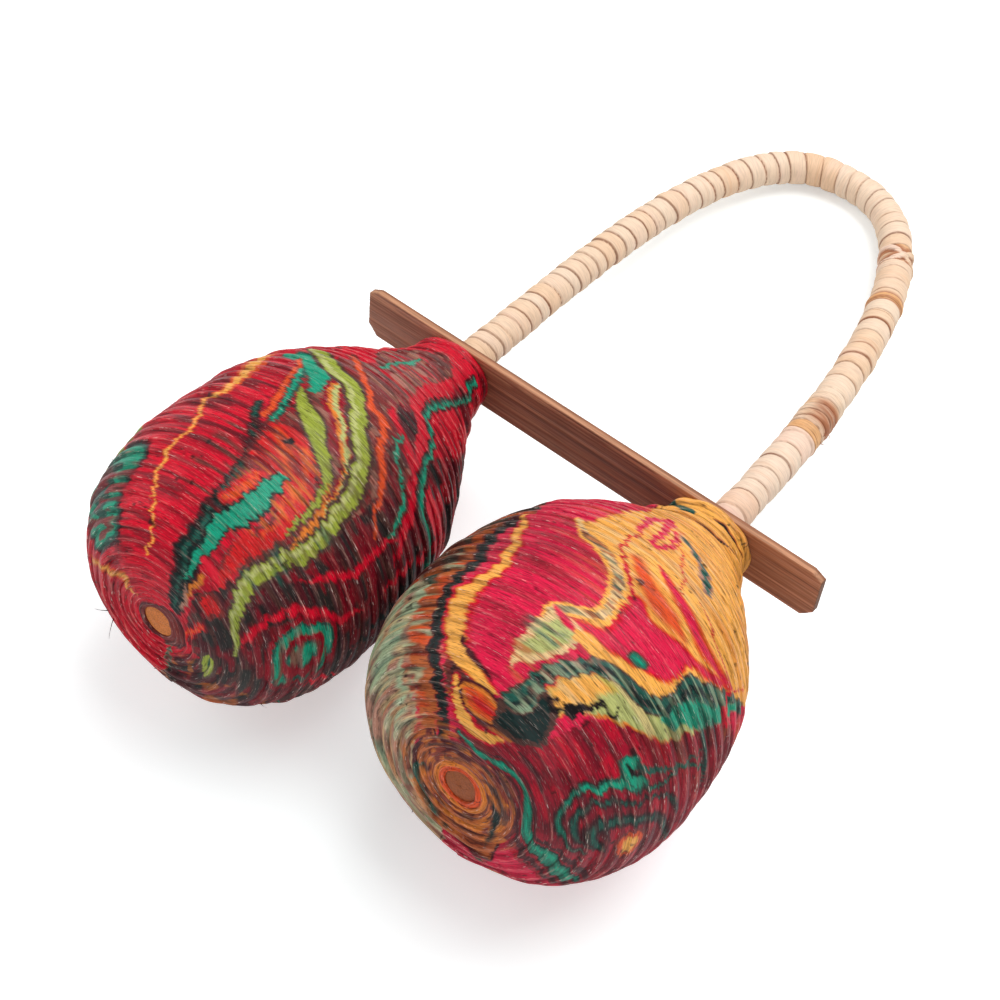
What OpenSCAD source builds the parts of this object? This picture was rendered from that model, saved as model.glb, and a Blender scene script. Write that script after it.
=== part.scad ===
// Pair of coiled palm-leaf maracas on one bent cane, with a crossbar and rattle seeds.
// Millimetres. Z is up, the table is z = 0, X runs along the crossbar, +Y towards the handle loop.

/* [Handle] */
// distance between the two cane legs at the crossbar
leg_spacing = 84; // [80:1:92]
// distance from the crossbar to the far end of the loop centreline
loop_length = 147.2; // [130:0.1:162]
// sideways drift of the loop's far end
loop_drift = -12.2; // [-15:0.1:4]
// radius of the bare cane
cane_r = 4.2; // [3.6:0.1:4.6]
// radius over the wrapped peel
wrap_r = 5; // [4.9:0.1:5.6]

/* [Crossbar] */
// length of the slat
bar_length = 147; // [136:1:158]
// height of the slat
bar_height = 15.4; // [15:0.2:20]
// thickness of the slat
bar_thickness = 2.2; // [2:0.1:5]
// how far the cane holes sit below the middle of the slat
hole_drop = 1.9; // [0:0.1:2]
// bevel on the slat's corners
bar_bevel = 3; // [1:0.5:5]

/* [Left shell] */
// distance from the crossbar to the cane's end in the left shell
left_length = 113.8; // [106:0.1:120]
// belly radius of the left shell
left_belly_r = 36.9; // [34:0.1:38.5]
// sideways lean of the left shell, in degrees
left_lean = 4; // [0:0.1:6]

/* [Right shell] */
// distance from the crossbar to the cane's end in the right shell
right_length = 102.6; // [98:0.1:115]
// belly radius of the right shell
right_belly_r = 39.1; // [35:0.1:40]
// sideways lean of the right shell, in degrees
right_lean = 3.3; // [0:0.1:6]

/* [Shell walls] */
// wall thickness of the coiled leaf
wall = 2.8; // [2.2:0.1:4]
// height of a coil ridge
ridge = 0.5; // [0.2:0.1:0.9]
// coil turns from the tip ring to the belly
lower_turns = 14; // [8:1:18]
// coil turns from the belly to the neck leaf
upper_turns = 20; // [8:1:24]
// radius of the tip ring around the cane end
tip_ring_r = 12; // [9:0.5:15]

/* [Seeds] */
// radius of a rattle seed
seed_r = 2.5; // [1.8:0.1:3]

/* [Hidden] */
gap = 0.05;            // fit gap between nested pieces
belly_at = 0.296;      // belly position as a part of the length, from the cane end
end_blunt = 0.25;      // exponent that makes the far end blunt
neck_start = 0.80;     // where the neck leaf takes over, as a part of belly to crossbar
round_start = 0.90;    // where the neck starts to round in
neck_ratio = 0.27;     // neck radius over belly radius
neck_end_r = 7.5;      // neck radius where it meets the crossbar
sides = 24;            // sides of a swept cane or peel
hole_r = cane_r + 0.15;
half_bar = bar_thickness / 2;

// ---- shell profile: s is the distance from the crossbar's middle plane along the shell's axis ----
function blunt0(R) = pow(cane_r / R, 1 / end_blunt) * 0.5;
function low_r(a, R) = R * pow(blunt0(R) + (1 - blunt0(R)) * pow(sin(a), 2), end_blunt);
function low_a(r, R) = asin(sqrt((pow(r / R, 1 / end_blunt) - blunt0(R)) / (1 - blunt0(R))));
function up_r(u, R) = R * (neck_ratio + (1 - neck_ratio) * (1 + cos(180 * pow(u, 1.44))) / 2);
function neck_r(u, R) = u <= round_start ? up_r(u, R) :
  neck_end_r + (up_r(round_start, R) - neck_end_r) *
  sqrt(max(0, 1 - pow((u - round_start) / (1 - round_start), 2)));
function low_s(a, L, back) = (L - back) - (belly_at * L - back) * (1 - cos(a));
function up_s(u, L) = (1 - belly_at) * L * (1 - u);

// ---- resting pose: each belly touches the table ----
function dip(p, L, R) = max(concat(
  [for (a = [10:5:90]) low_r(a, R) * cos(p) - low_s(a, L, 0) * sin(p)],
  [for (u = [0:0.04:0.8]) up_r(u, R) * cos(p) - up_s(u, L) * sin(p)]));
function solve_pitch(L, R, lo, hi, n) = n == 0 ? (lo + hi) / 2 :
  dip((lo + hi) / 2, L, R) > hole_height ? solve_pitch(L, R, (lo + hi) / 2, hi, n - 1)
                                         : solve_pitch(L, R, lo, (lo + hi) / 2, n - 1);
hole_height = 26.3;
left_pitch = solve_pitch(left_length, left_belly_r + ridge, 0, 30, 16);
right_pitch = solve_pitch(right_length, right_belly_r + ridge, 0, 30, 16);
loop_tilt = asin((hole_height - wrap_r) / loop_length);

// ---- where everything sits: the frame's origin is under the middle of the whole thing ----
function shell_dir(p, lean) = [sin(lean) * cos(p), -cos(lean) * cos(p), sin(p)];
function reach(k, x0, p, lean, L, R) = concat(
  [for (a = [0:3:90]) let (d = shell_dir(p, lean)[k], w = sqrt(1 - d * d), q = low_s(a, L, 0) * d)
    each [x0 + q - low_r(a, R) * w, x0 + q + low_r(a, R) * w]],
  [for (u = [0:0.05:0.8]) let (d = shell_dir(p, lean)[k], w = sqrt(1 - d * d), q = up_s(u, L) * d)
    each [x0 + q - up_r(u, R) * w, x0 + q + up_r(u, R) * w]]);
left_x = -leg_spacing / 2;
right_x = leg_spacing / 2;
all_x = concat(reach(0, left_x, left_pitch, left_lean, left_length, left_belly_r + ridge),
               reach(0, right_x, right_pitch, right_lean, right_length, right_belly_r + ridge));
all_y = concat(reach(1, 0, left_pitch, left_lean, left_length, left_belly_r + ridge),
               reach(1, 0, right_pitch, right_lean, right_length, right_belly_r + ridge));
centre_x = (min(all_x) + max(all_x)) / 2;
centre_y = (min(all_y) + loop_length * cos(loop_tilt) + wrap_r) / 2;

module in_place() translate([-centre_x, -centre_y, 0]) children();
module at_bar() in_place() translate([0, 0, hole_height]) rotate([-loop_tilt, 0, 0]) children();
module at_left() in_place() translate([left_x, 0, hole_height])
  rotate([90 - left_pitch, 0, left_lean]) children();
module at_right() in_place() translate([right_x, 0, hole_height])
  rotate([90 - right_pitch, 0, right_lean]) children();

// ---- handle planform: two legs joined by a leaning arch ----
stations = 120;
half_w = leg_spacing / 2;
function loop_v(f) = pow(sin(f), 2 / 3);
function loop_x(f) = -half_w * sign(cos(f)) * pow(abs(cos(f)), 2 / 2.4) + loop_drift * pow(loop_v(f), 1.3);
function in_plane(x, y) = [x, y * cos(loop_tilt), hole_height - y * sin(loop_tilt)];
function loop_at(k) = k <= 0 ? in_plane(left_x, 0) : k >= stations ? in_plane(right_x, 0) :
  in_plane(loop_x(180 * k / stations), loop_length * loop_v(180 * k / stations));
loop_up = [0, sin(loop_tilt), cos(loop_tilt)];
function unit(v) = v / norm(v);
function toward(a, b, d) = a + unit(b - a) * d;
function tangents(P) = [for (i = [0:len(P) - 1])
  unit(unit(P[min(i + 1, len(P) - 1)] - P[i] + [0, 0, 1e-9]) + unit(P[i] - P[max(i - 1, 0)] + [0, 0, 1e-9]))];
function ends_fixed(P) = let (n = len(P) - 1, t = tangents(P))
  [for (i = [0:n]) i == 0 ? unit(P[1] - P[0]) : i == n ? unit(P[n] - P[n - 1]) : t[i]];
function ring(p, t, r) = let (b = unit(cross(t, loop_up)), n = cross(b, t))
  [for (j = [0:sides - 1]) p + r * (cos(360 * j / sides) * b + sin(360 * j / sides) * n)];

module solid_sweep(P, r) {
  T = ends_fixed(P);
  pts = [for (i = [0:len(P) - 1]) each ring(P[i], T[i], r)];
  last = (len(P) - 1) * sides;
  polyhedron(pts, concat(
    [for (i = [0:len(P) - 2]) for (j = [0:sides - 1]) let (k = (j + 1) % sides)
      [i * sides + j, (i + 1) * sides + j, (i + 1) * sides + k, i * sides + k]],
    [[for (j = [0:sides - 1]) j]],
    [[for (j = [sides - 1:-1:0]) last + j]]), convexity = 6);
}

module tube_sweep(P, T, r_in, r_out) {
  n = len(P);
  outer = [for (i = [0:n - 1]) each ring(P[i], T[i], r_out)];
  inner = [for (i = [0:n - 1]) each ring(P[i], T[i], r_in)];
  o = n * sides;
  polyhedron(concat(outer, inner), concat(
    [for (i = [0:n - 2]) for (j = [0:sides - 1]) let (k = (j + 1) % sides)
      [i * sides + j, (i + 1) * sides + j, (i + 1) * sides + k, i * sides + k]],
    [for (i = [0:n - 2]) for (j = [0:sides - 1]) let (k = (j + 1) % sides)
      [o + i * sides + k, o + (i + 1) * sides + k, o + (i + 1) * sides + j, o + i * sides + j]],
    [for (j = [0:sides - 1]) let (k = (j + 1) % sides) [j, k, o + k, o + j]],
    [for (j = [0:sides - 1]) let (k = (j + 1) % sides, q = (n - 1) * sides)
      [q + k, q + j, o + q + j, o + q + k]]), convexity = 6);
}

// one continuous cane: cane end, left shell, crossbar, loop, crossbar, right shell, cane end
module cane() color([0.72, 0.5, 0.27]) in_place() {
  l0 = in_plane(left_x, 0);
  r0 = in_plane(right_x, 0);
  dl = shell_dir(left_pitch, left_lean);
  dr = shell_dir(right_pitch, right_lean);
  solid_sweep(concat(
    [for (s = [left_length, left_length / 2, 12]) l0 + dl * s],
    [for (k = [0:2:stations]) loop_at(k)],
    [for (s = [12, right_length / 2, right_length]) r0 + dr * s]), cane_r);
}

// a length of peel wound on the cane between two stations of the loop
cane_path = [for (k = [0:2:stations]) loop_at(k)];
cane_tan = ends_fixed(cane_path);
bar_clear = half_bar + 0.02;
module peel(k0, k1, extra) color([0.86, 0.72, 0.55]) in_place() {
  n = stations / 2;
  P = concat(k0 == 0 ? [toward(cane_path[0], cane_path[1], bar_clear)] : [cane_path[k0]],
             [for (k = [k0 + 1:k1 - 1]) cane_path[k]],
             k1 == n ? [toward(cane_path[n], cane_path[n - 1], bar_clear)] : [cane_path[k1]]);
  T = concat(k0 == 0 ? [[0, cos(loop_tilt), -sin(loop_tilt)]] : [cane_tan[k0]],
             [for (k = [k0 + 1:k1 - 1]) cane_tan[k]],
             k1 == n ? [[0, -cos(loop_tilt), sin(loop_tilt)]] : [cane_tan[k1]]);
  tube_sweep(P, T, cane_r + gap, wrap_r + extra);
}
module left_leg_peel() peel(0, 9, 0);
module arch_peel() peel(9, 42, 0);
module splice_knot_peel() peel(42, 44, 0.4);
module narrow_turns_peel() peel(44, 49, 0.2);
module right_arch_peel() peel(49, 55, 0);
module dark_splice_peel() peel(55, 57, 0.3);
module right_leg_peel() peel(57, 60, 0);

// flat slat with bevelled corners and a hole for each leg of the cane
module crossbar() color([0.55, 0.3, 0.2]) at_bar() difference() {
  l = bar_length / 2;
  h = bar_height / 2;
  b = bar_bevel;
  translate([0, 0, hole_drop]) rotate([90, 0, 0])
    linear_extrude(height = bar_thickness, center = true)
      polygon([[-l, -h + b], [-l + b, -h], [l - b, -h], [l, -h + b],
               [l, h - b / 2], [l - b, h], [-l + b, h], [-l, h - b / 2]]);
  for (x = [left_x, right_x]) translate([x, 0, 0]) rotate([90, 0, 0])
    cylinder(h = bar_thickness + 2, r = hole_r, center = true, $fn = 64);
}

// ---- shell pieces, drawn as [radius, distance from the crossbar] ----
function puff(r, s, sb, R) = [r * (1 + ridge / R), sb + (s - sb) * (1 + ridge / R)];
function low_ridges(a0, a1, n, L, R) = [for (i = [0:n - 1]) let (
    sb = (1 - belly_at) * L, a = a0 + (a1 - a0) * i / n, m = a0 + (a1 - a0) * (i + 0.6) / n)
  each [[low_r(a, R), low_s(a, L, 0)], puff(low_r(m, R), low_s(m, L, 0), sb, R)]];
function low_inner(a0, a1, L, R) = [for (i = [0:12]) let (a = a0 + (a1 - a0) * i / 12)
  [low_r(a, R - wall), low_s(a, L, wall)]];

module tip_ring(L, R) rotate_extrude($fn = 96) {
  bore = cane_r + gap;
  polygon(concat(
    low_ridges(low_a(bore, R), low_a(tip_ring_r, R), 3, L, R),
    [[tip_ring_r, low_s(low_a(tip_ring_r, R), L, 0)]],
    low_inner(low_a(tip_ring_r, R - wall), low_a(bore, R - wall), L, R)));
}

module lower_coil(L, R) rotate_extrude($fn = 96) {
  start = tip_ring_r + gap;
  polygon(concat(
    low_ridges(low_a(start, R), 90, lower_turns, L, R),
    [[R, (1 - belly_at) * L]],
    low_inner(90, low_a(start, R - wall), L, R)));
}

module upper_coil(L, R) rotate_extrude($fn = 96) {
  polygon(concat(
    [for (i = [0:upper_turns - 1]) let (u = neck_start * i / upper_turns, m = neck_start * (i + 0.6) / upper_turns)
      each [[up_r(u, R), up_s(u, L)], [up_r(m, R) + ridge, up_s(m, L)]]],
    [[up_r(neck_start, R), up_s(neck_start, L)]],
    [for (i = [12:-1:0]) let (u = neck_start * i / 12) [up_r(u, R) - wall, up_s(u, L)]]));
}

module neck_leaf(L, R) rotate_extrude($fn = 96) {
  polygon(concat(
    [[cane_r + gap, up_s(neck_start, L)]],
    [for (i = [0:20]) let (u = neck_start + (1 - neck_start) * i / 20)
      [neck_r(u, R) + (i % 4 == 2 ? ridge : 0), up_s(u, L)]],
    [[cane_r + gap, 0]]));
}

// the neck is trimmed flat against the crossbar's front face
module in_front_of_bar() at_bar() translate([0, -half_bar - 100, 0]) cube([300, 200, 300], center = true);

module left_tip_ring() color([0.8, 0.45, 0.15]) at_left() tip_ring(left_length, left_belly_r);
module left_lower_coil() color([0.62, 0.1, 0.16]) at_left() lower_coil(left_length, left_belly_r);
module left_upper_coil() color([0.66, 0.12, 0.17]) at_left() upper_coil(left_length, left_belly_r);
module left_neck_leaf() color([0.75, 0.1, 0.16]) intersection() {
  at_left() neck_leaf(left_length, left_belly_r);
  in_front_of_bar();
}
module right_tip_ring() color([0.72, 0.4, 0.16]) at_right() tip_ring(right_length, right_belly_r);
module right_lower_coil() color([0.7, 0.12, 0.2]) at_right() lower_coil(right_length, right_belly_r);
module right_upper_coil() color([0.8, 0.4, 0.22]) at_right() upper_coil(right_length, right_belly_r);
module right_neck_leaf() color([0.9, 0.62, 0.22]) intersection() {
  at_right() neck_leaf(right_length, right_belly_r);
  in_front_of_bar();
}

// ---- seeds: each rests on the floor of its own lane beside the cane ----
seed_clear = 0.4;
seed_lane = 9.5;
seed_step = 6.2;
function cavity_r(s, L, R) = s <= (1 - belly_at) * L ? up_r(1 - s / ((1 - belly_at) * L), R) - wall :
  low_r(acos(1 - (L - wall - s) / (belly_at * L - wall)), R - wall);
function seed_x(i) = (i % 2 == 0 ? 1 : -1) * (seed_lane + 1.6 * (i % 3));
function seed_s(i, L) = (1 - belly_at) * L + (i - 2) * seed_step;
function seed_drop(i, L, R) = sqrt(pow(cavity_r(seed_s(i, L), L, R) - seed_r - seed_clear, 2) - pow(seed_x(i), 2));
module seed(i, L, R) translate([seed_x(i), -seed_drop(i, L, R), seed_s(i, L)]) sphere(r = seed_r, $fn = 32);
module left_seed_1() color([0.36, 0.2, 0.12]) at_left() seed(0, left_length, left_belly_r);
module left_seed_2() color([0.36, 0.2, 0.12]) at_left() seed(1, left_length, left_belly_r);
module left_seed_3() color([0.36, 0.2, 0.12]) at_left() seed(2, left_length, left_belly_r);
module left_seed_4() color([0.36, 0.2, 0.12]) at_left() seed(3, left_length, left_belly_r);
module left_seed_5() color([0.36, 0.2, 0.12]) at_left() seed(4, left_length, left_belly_r);
module right_seed_1() color([0.36, 0.2, 0.12]) at_right() seed(0, right_length, right_belly_r);
module right_seed_2() color([0.36, 0.2, 0.12]) at_right() seed(1, right_length, right_belly_r);
module right_seed_3() color([0.36, 0.2, 0.12]) at_right() seed(2, right_length, right_belly_r);
module right_seed_4() color([0.36, 0.2, 0.12]) at_right() seed(3, right_length, right_belly_r);
module right_seed_5() color([0.36, 0.2, 0.12]) at_right() seed(4, right_length, right_belly_r);

cane();
crossbar();
left_leg_peel();
arch_peel();
splice_knot_peel();
narrow_turns_peel();
right_arch_peel();
dark_splice_peel();
right_leg_peel();
left_tip_ring();
left_lower_coil();
left_upper_coil();
left_neck_leaf();
right_tip_ring();
right_lower_coil();
right_upper_coil();
right_neck_leaf();
left_seed_1();
left_seed_2();
left_seed_3();
left_seed_4();
left_seed_5();
right_seed_1();
right_seed_2();
right_seed_3();
right_seed_4();
right_seed_5();
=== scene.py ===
import math

import bpy
import numpy as np
from mathutils import Matrix, Vector


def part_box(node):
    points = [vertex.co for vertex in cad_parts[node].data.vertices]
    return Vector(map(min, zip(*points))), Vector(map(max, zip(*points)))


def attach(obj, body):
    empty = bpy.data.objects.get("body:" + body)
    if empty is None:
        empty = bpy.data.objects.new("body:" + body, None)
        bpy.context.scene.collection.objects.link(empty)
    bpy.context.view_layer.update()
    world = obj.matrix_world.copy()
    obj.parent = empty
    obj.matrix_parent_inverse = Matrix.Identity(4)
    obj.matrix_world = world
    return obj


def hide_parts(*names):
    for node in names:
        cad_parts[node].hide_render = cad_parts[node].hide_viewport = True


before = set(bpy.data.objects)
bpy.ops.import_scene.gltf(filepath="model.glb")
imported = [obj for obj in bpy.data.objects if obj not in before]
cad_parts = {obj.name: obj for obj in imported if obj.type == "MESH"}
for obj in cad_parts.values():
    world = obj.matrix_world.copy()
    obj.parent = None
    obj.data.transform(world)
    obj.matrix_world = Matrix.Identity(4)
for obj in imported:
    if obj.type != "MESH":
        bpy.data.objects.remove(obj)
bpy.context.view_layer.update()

BODY = "maracas"
MM = 0.001

# ---- millimetres and degrees; all but the two clearances are the solid model's own ----
LEG_SPACING = 84.0
LOOP_LENGTH = 147.2
LOOP_DRIFT = -12.2
CANE_R = 4.2
WRAP_R = 5.0
BAR_LENGTH = 147.0
BAR_HEIGHT = 15.4
BAR_THICKNESS = 2.2
HOLE_HEIGHT = 26.3
WALL = 2.8
RIDGE = 0.5
GAP = 0.05
BELLY_AT = 0.296
END_BLUNT = 0.25
NECK_START = 0.80
ROUND_START = 0.90
NECK_RATIO = 0.27
NECK_END_R = 7.5
NECK_POWER = 1.44
TIP_RING_R = 12.0
HALF_BAR = BAR_THICKNESS / 2
PEEL_CLEAR = 0.02
TABLE_CLEAR = 0.02
SHELLS = {
    "left": {"x": -LEG_SPACING / 2, "length": 113.8, "belly": 36.9, "lean": 4.0},
    "right": {"x": LEG_SPACING / 2, "length": 102.6, "belly": 39.1, "lean": 3.3},
}
LOOP_TILT = math.degrees(math.asin((HOLE_HEIGHT - WRAP_R) / LOOP_LENGTH))


def sind(a):
    return np.sin(np.radians(a))


def cosd(a):
    return np.cos(np.radians(a))


def smooth(lo, hi, x):
    t = np.clip((x - lo) / (hi - lo), 0.0, 1.0)
    return t * t * (3 - 2 * t)


def mix(a, b, k):
    return a + (b - a) * k


def tint(paint, dye, amount):
    """Colours moved towards a dye by an amount for each point."""
    return mix(paint, dye, amount[..., None])


def grid(rows, columns):
    """Every row value with every column value, as two flat lists."""
    return [part.ravel() for part in np.meshgrid(rows, columns, indexing="ij")]


def round_angles(count):
    return np.linspace(0, 2 * np.pi, count, endpoint=False)


# ---- repeatable lattice noise; u is in turns and wraps round, v is free ----
def lattice(i, j, seed):
    n = (i * 374761393 + j * 668265263 + seed * 974711) & 0xFFFFFFFF
    n = ((n ^ (n >> 13)) * 1274126177) & 0xFFFFFFFF
    return ((n ^ (n >> 16)) & 0xFFFF) / 32767.5 - 1.0


def noise(u, v, cells, seed):
    x = np.mod(u, 1.0) * cells
    i = np.floor(x).astype(np.int64)
    j = np.floor(v).astype(np.int64)
    fx = x - i
    fy = v - j
    fx = fx * fx * (3 - 2 * fx)
    fy = fy * fy * (3 - 2 * fy)
    i0 = i % cells
    i1 = (i + 1) % cells
    low = mix(lattice(i0, j, seed), lattice(i1, j, seed), fx)
    high = mix(lattice(i0, j + 1, seed), lattice(i1, j + 1, seed), fx)
    return mix(low, high, fy)


def srgb(r, g, b):
    c = np.array([r, g, b], float) / 255
    return np.where(c <= 0.04045, c / 12.92, ((c + 0.055) / 1.055) ** 2.4)


# ---- shell profile, the same formulas as the solid model ----
def blunt0(R):
    return (CANE_R / R) ** (1 / END_BLUNT) * 0.5


def low_r(a, R):
    return R * (blunt0(R) + (1 - blunt0(R)) * sind(a) ** 2) ** END_BLUNT


def low_a(r, R):
    share = ((r / R) ** (1 / END_BLUNT) - blunt0(R)) / (1 - blunt0(R))
    return math.degrees(math.asin(math.sqrt(share)))


def up_r(u, R):
    return R * (NECK_RATIO + (1 - NECK_RATIO) * (1 + cosd(180 * u ** NECK_POWER)) / 2)


def neck_r(u, R):
    at_round = up_r(ROUND_START, R)
    v = np.clip((u - ROUND_START) / (1 - ROUND_START), 0, 1)
    dome = NECK_END_R + (at_round - NECK_END_R) * np.sqrt(1 - v * v)
    return np.where(u <= ROUND_START, up_r(u, R), dome)


def low_s(a, L):
    return L - BELLY_AT * L * (1 - cosd(a))


def up_s(u, L):
    return (1 - BELLY_AT) * L * (1 - u)


def solve_pitch(L, R):
    a = np.arange(10, 91, 5.0)
    u = np.arange(0, 0.801, 0.04)
    lo, hi = 0.0, 30.0
    for _ in range(16):
        p = (lo + hi) / 2
        under_low = low_r(a, R) * cosd(p) - low_s(a, L) * sind(p)
        under_up = up_r(u, R) * cosd(p) - up_s(u, L) * sind(p)
        if max(under_low.max(), under_up.max()) > HOLE_HEIGHT:
            lo = p
        else:
            hi = p
    return (lo + hi) / 2


def axes_of(pitch, lean):
    """Across, up and along directions of a shell that leans sideways and points up by its pitch."""
    ex = np.array([cosd(lean), sind(lean), 0.0])
    ey = np.array([-sind(lean) * sind(pitch), cosd(lean) * sind(pitch), cosd(pitch)])
    ez = np.array([sind(lean) * cosd(pitch), -cosd(lean) * cosd(pitch), sind(pitch)])
    return ex, ey, ez


def reach(k, x0, ez, L, R):
    a = np.arange(0, 91, 3.0)
    u = np.arange(0, 0.801, 0.05)
    w = math.sqrt(1 - ez[k] ** 2)
    r = np.concatenate([low_r(a, R), up_r(u, R)])
    s = np.concatenate([low_s(a, L), up_s(u, L)])
    return min(x0 + s * ez[k] - r * w), max(x0 + s * ez[k] + r * w)


for shape in SHELLS.values():
    shape["pitch"] = solve_pitch(shape["length"], shape["belly"] + RIDGE)
    shape["axes"] = axes_of(shape["pitch"], shape["lean"])
spans_x = [reach(0, s["x"], s["axes"][2], s["length"], s["belly"] + RIDGE) for s in SHELLS.values()]
spans_y = [reach(1, 0.0, s["axes"][2], s["length"], s["belly"] + RIDGE) for s in SHELLS.values()]
CENTRE = np.array([
    (min(s[0] for s in spans_x) + max(s[1] for s in spans_x)) / 2,
    (min(s[0] for s in spans_y) + LOOP_LENGTH * cosd(LOOP_TILT) + WRAP_R) / 2,
    0.0,
])
BAR_UP = np.array([0.0, sind(LOOP_TILT), cosd(LOOP_TILT)])
BAR_BACK = np.array([0.0, cosd(LOOP_TILT), -sind(LOOP_TILT)])
BAR_HOME = np.array([0.0, 0.0, HOLE_HEIGHT]) - CENTRE


# ---- meshes ----
def link(obj):
    bpy.context.scene.collection.objects.link(obj)


def make_piece(name, points, faces, look, nodes, slot, body=BODY, flat=None, **fields):
    """A mesh piece from points in millimetres; fields are per-point values that the materials read."""
    mesh = bpy.data.meshes.new(name)
    faces = np.asarray(faces, np.int32)
    mesh.vertices.add(len(points))
    mesh.vertices.foreach_set("co", (np.asarray(points) * MM).astype(np.float32).ravel())
    mesh.loops.add(faces.size)
    mesh.loops.foreach_set("vertex_index", faces.ravel())
    mesh.polygons.add(len(faces))
    mesh.polygons.foreach_set("loop_start", np.arange(len(faces), dtype=np.int32) * faces.shape[1])
    rounded = np.ones(len(faces), bool)
    if flat is not None:
        rounded[flat] = False
    mesh.update(calc_edges=True)
    mesh.polygons.foreach_set("use_smooth", rounded)
    for key, values in fields.items():
        values = np.asarray(values, np.float32)
        if key == "paint":
            layer = mesh.attributes.new(key, "FLOAT_COLOR", "POINT")
            full = np.ones((len(values), 4), np.float32)
            full[:, :3] = np.clip(values, 0, 1)
            layer.data.foreach_set("color", full.ravel())
        elif values.ndim == 2:
            layer = mesh.attributes.new(key, "FLOAT_VECTOR", "POINT")
            layer.data.foreach_set("vector", values.ravel())
        else:
            layer = mesh.attributes.new(key, "FLOAT", "POINT")
            layer.data.foreach_set("value", values)
    mesh.materials.append(look)
    obj = bpy.data.objects.new(name, mesh)
    link(obj)
    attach(obj, body)
    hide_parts(*nodes)
    return obj


def ring_faces(rows, columns, closed):
    """Quads joining rings of points, one ring after another; closed joins the last ring to the first."""
    i = np.arange(rows if closed else rows - 1)[:, None]
    j = np.arange(columns)[None, :]
    k = (j + 1) % columns
    n = (i + 1) % rows
    quads = np.stack([i * columns + j, i * columns + k, n * columns + k, n * columns + j], -1)
    return quads.reshape(-1, 4)


def lid(first, count):
    """Quads that close a ring of points whose numbers run from first; count is even."""
    a = np.arange(count // 2 - 1)
    return np.stack([first + a, first + count - 1 - a, first + count - 2 - a, first + a + 1], 1)


def tube_faces(rows, columns):
    """Quads of a tube of rings with a lid at each end."""
    far_lid = lid((rows - 1) * columns, columns)[:, ::-1]
    return np.concatenate([ring_faces(rows, columns, closed=False), lid(0, columns), far_lid])


# ---- materials ----
class Look:
    """A procedural material, built a node at a time."""

    def __init__(self, name):
        self.material = bpy.data.materials.new(name)
        self.material.use_nodes = True
        self.tree = self.material.node_tree
        self.bsdf = self.tree.nodes["Principled BSDF"]

    def node(self, kind, **settings):
        made = self.tree.nodes.new(kind)
        for key, value in settings.items():
            setattr(made, key, value)
        return made

    def plug(self, source, target):
        self.tree.links.new(source, target)

    def field(self, name, output):
        return self.node("ShaderNodeAttribute", attribute_name=name).outputs[output]

    def grain(self, vector, scale, detail=3.0, rough=0.6):
        made = self.node("ShaderNodeTexNoise")
        made.inputs["Scale"].default_value = scale
        made.inputs["Detail"].default_value = detail
        made.inputs["Roughness"].default_value = rough
        self.plug(vector, made.inputs["Vector"])
        return made.outputs["Fac"]

    def remap(self, value, lo, hi, out_lo, out_hi):
        made = self.node("ShaderNodeMapRange", interpolation_type="SMOOTHSTEP")
        for key, number in zip(("From Min", "From Max", "To Min", "To Max"), (lo, hi, out_lo, out_hi)):
            made.inputs[key].default_value = number
        self.plug(value, made.inputs["Value"])
        return made.outputs["Result"]

    def maths(self, operation, a, b):
        made = self.node("ShaderNodeMath", operation=operation)
        for slot, value in zip(made.inputs, (a, b)):
            if isinstance(value, float):
                slot.default_value = value
            else:
                self.plug(value, slot)
        return made.outputs[0]

    def blend(self, amount, a, b, mode="MIX"):
        made = self.node("ShaderNodeMix", data_type="RGBA", blend_type=mode)
        for slot, value in ((made.inputs[0], amount), (made.inputs[6], a), (made.inputs[7], b)):
            if isinstance(value, (float, int)):
                slot.default_value = value
            elif isinstance(value, np.ndarray):
                slot.default_value = (*value, 1.0)
            else:
                self.plug(value, slot)
        return made.outputs[2]

    def shaded(self, colour, shade):
        grey = self.blend(shade, srgb(0, 0, 0), srgb(255, 255, 255))
        return self.blend(1.0, colour, grey, "MULTIPLY")

    def bump(self, heights, distance_mm, strength):
        made = self.node("ShaderNodeBump")
        made.inputs["Distance"].default_value = distance_mm * MM
        made.inputs["Strength"].default_value = strength
        self.plug(heights, made.inputs["Height"])
        self.plug(made.outputs["Normal"], self.bsdf.inputs["Normal"])

    def put(self, name, value):
        if isinstance(value, (float, int)):
            self.bsdf.inputs[name].default_value = value
        else:
            self.plug(value, self.bsdf.inputs[name])


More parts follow.
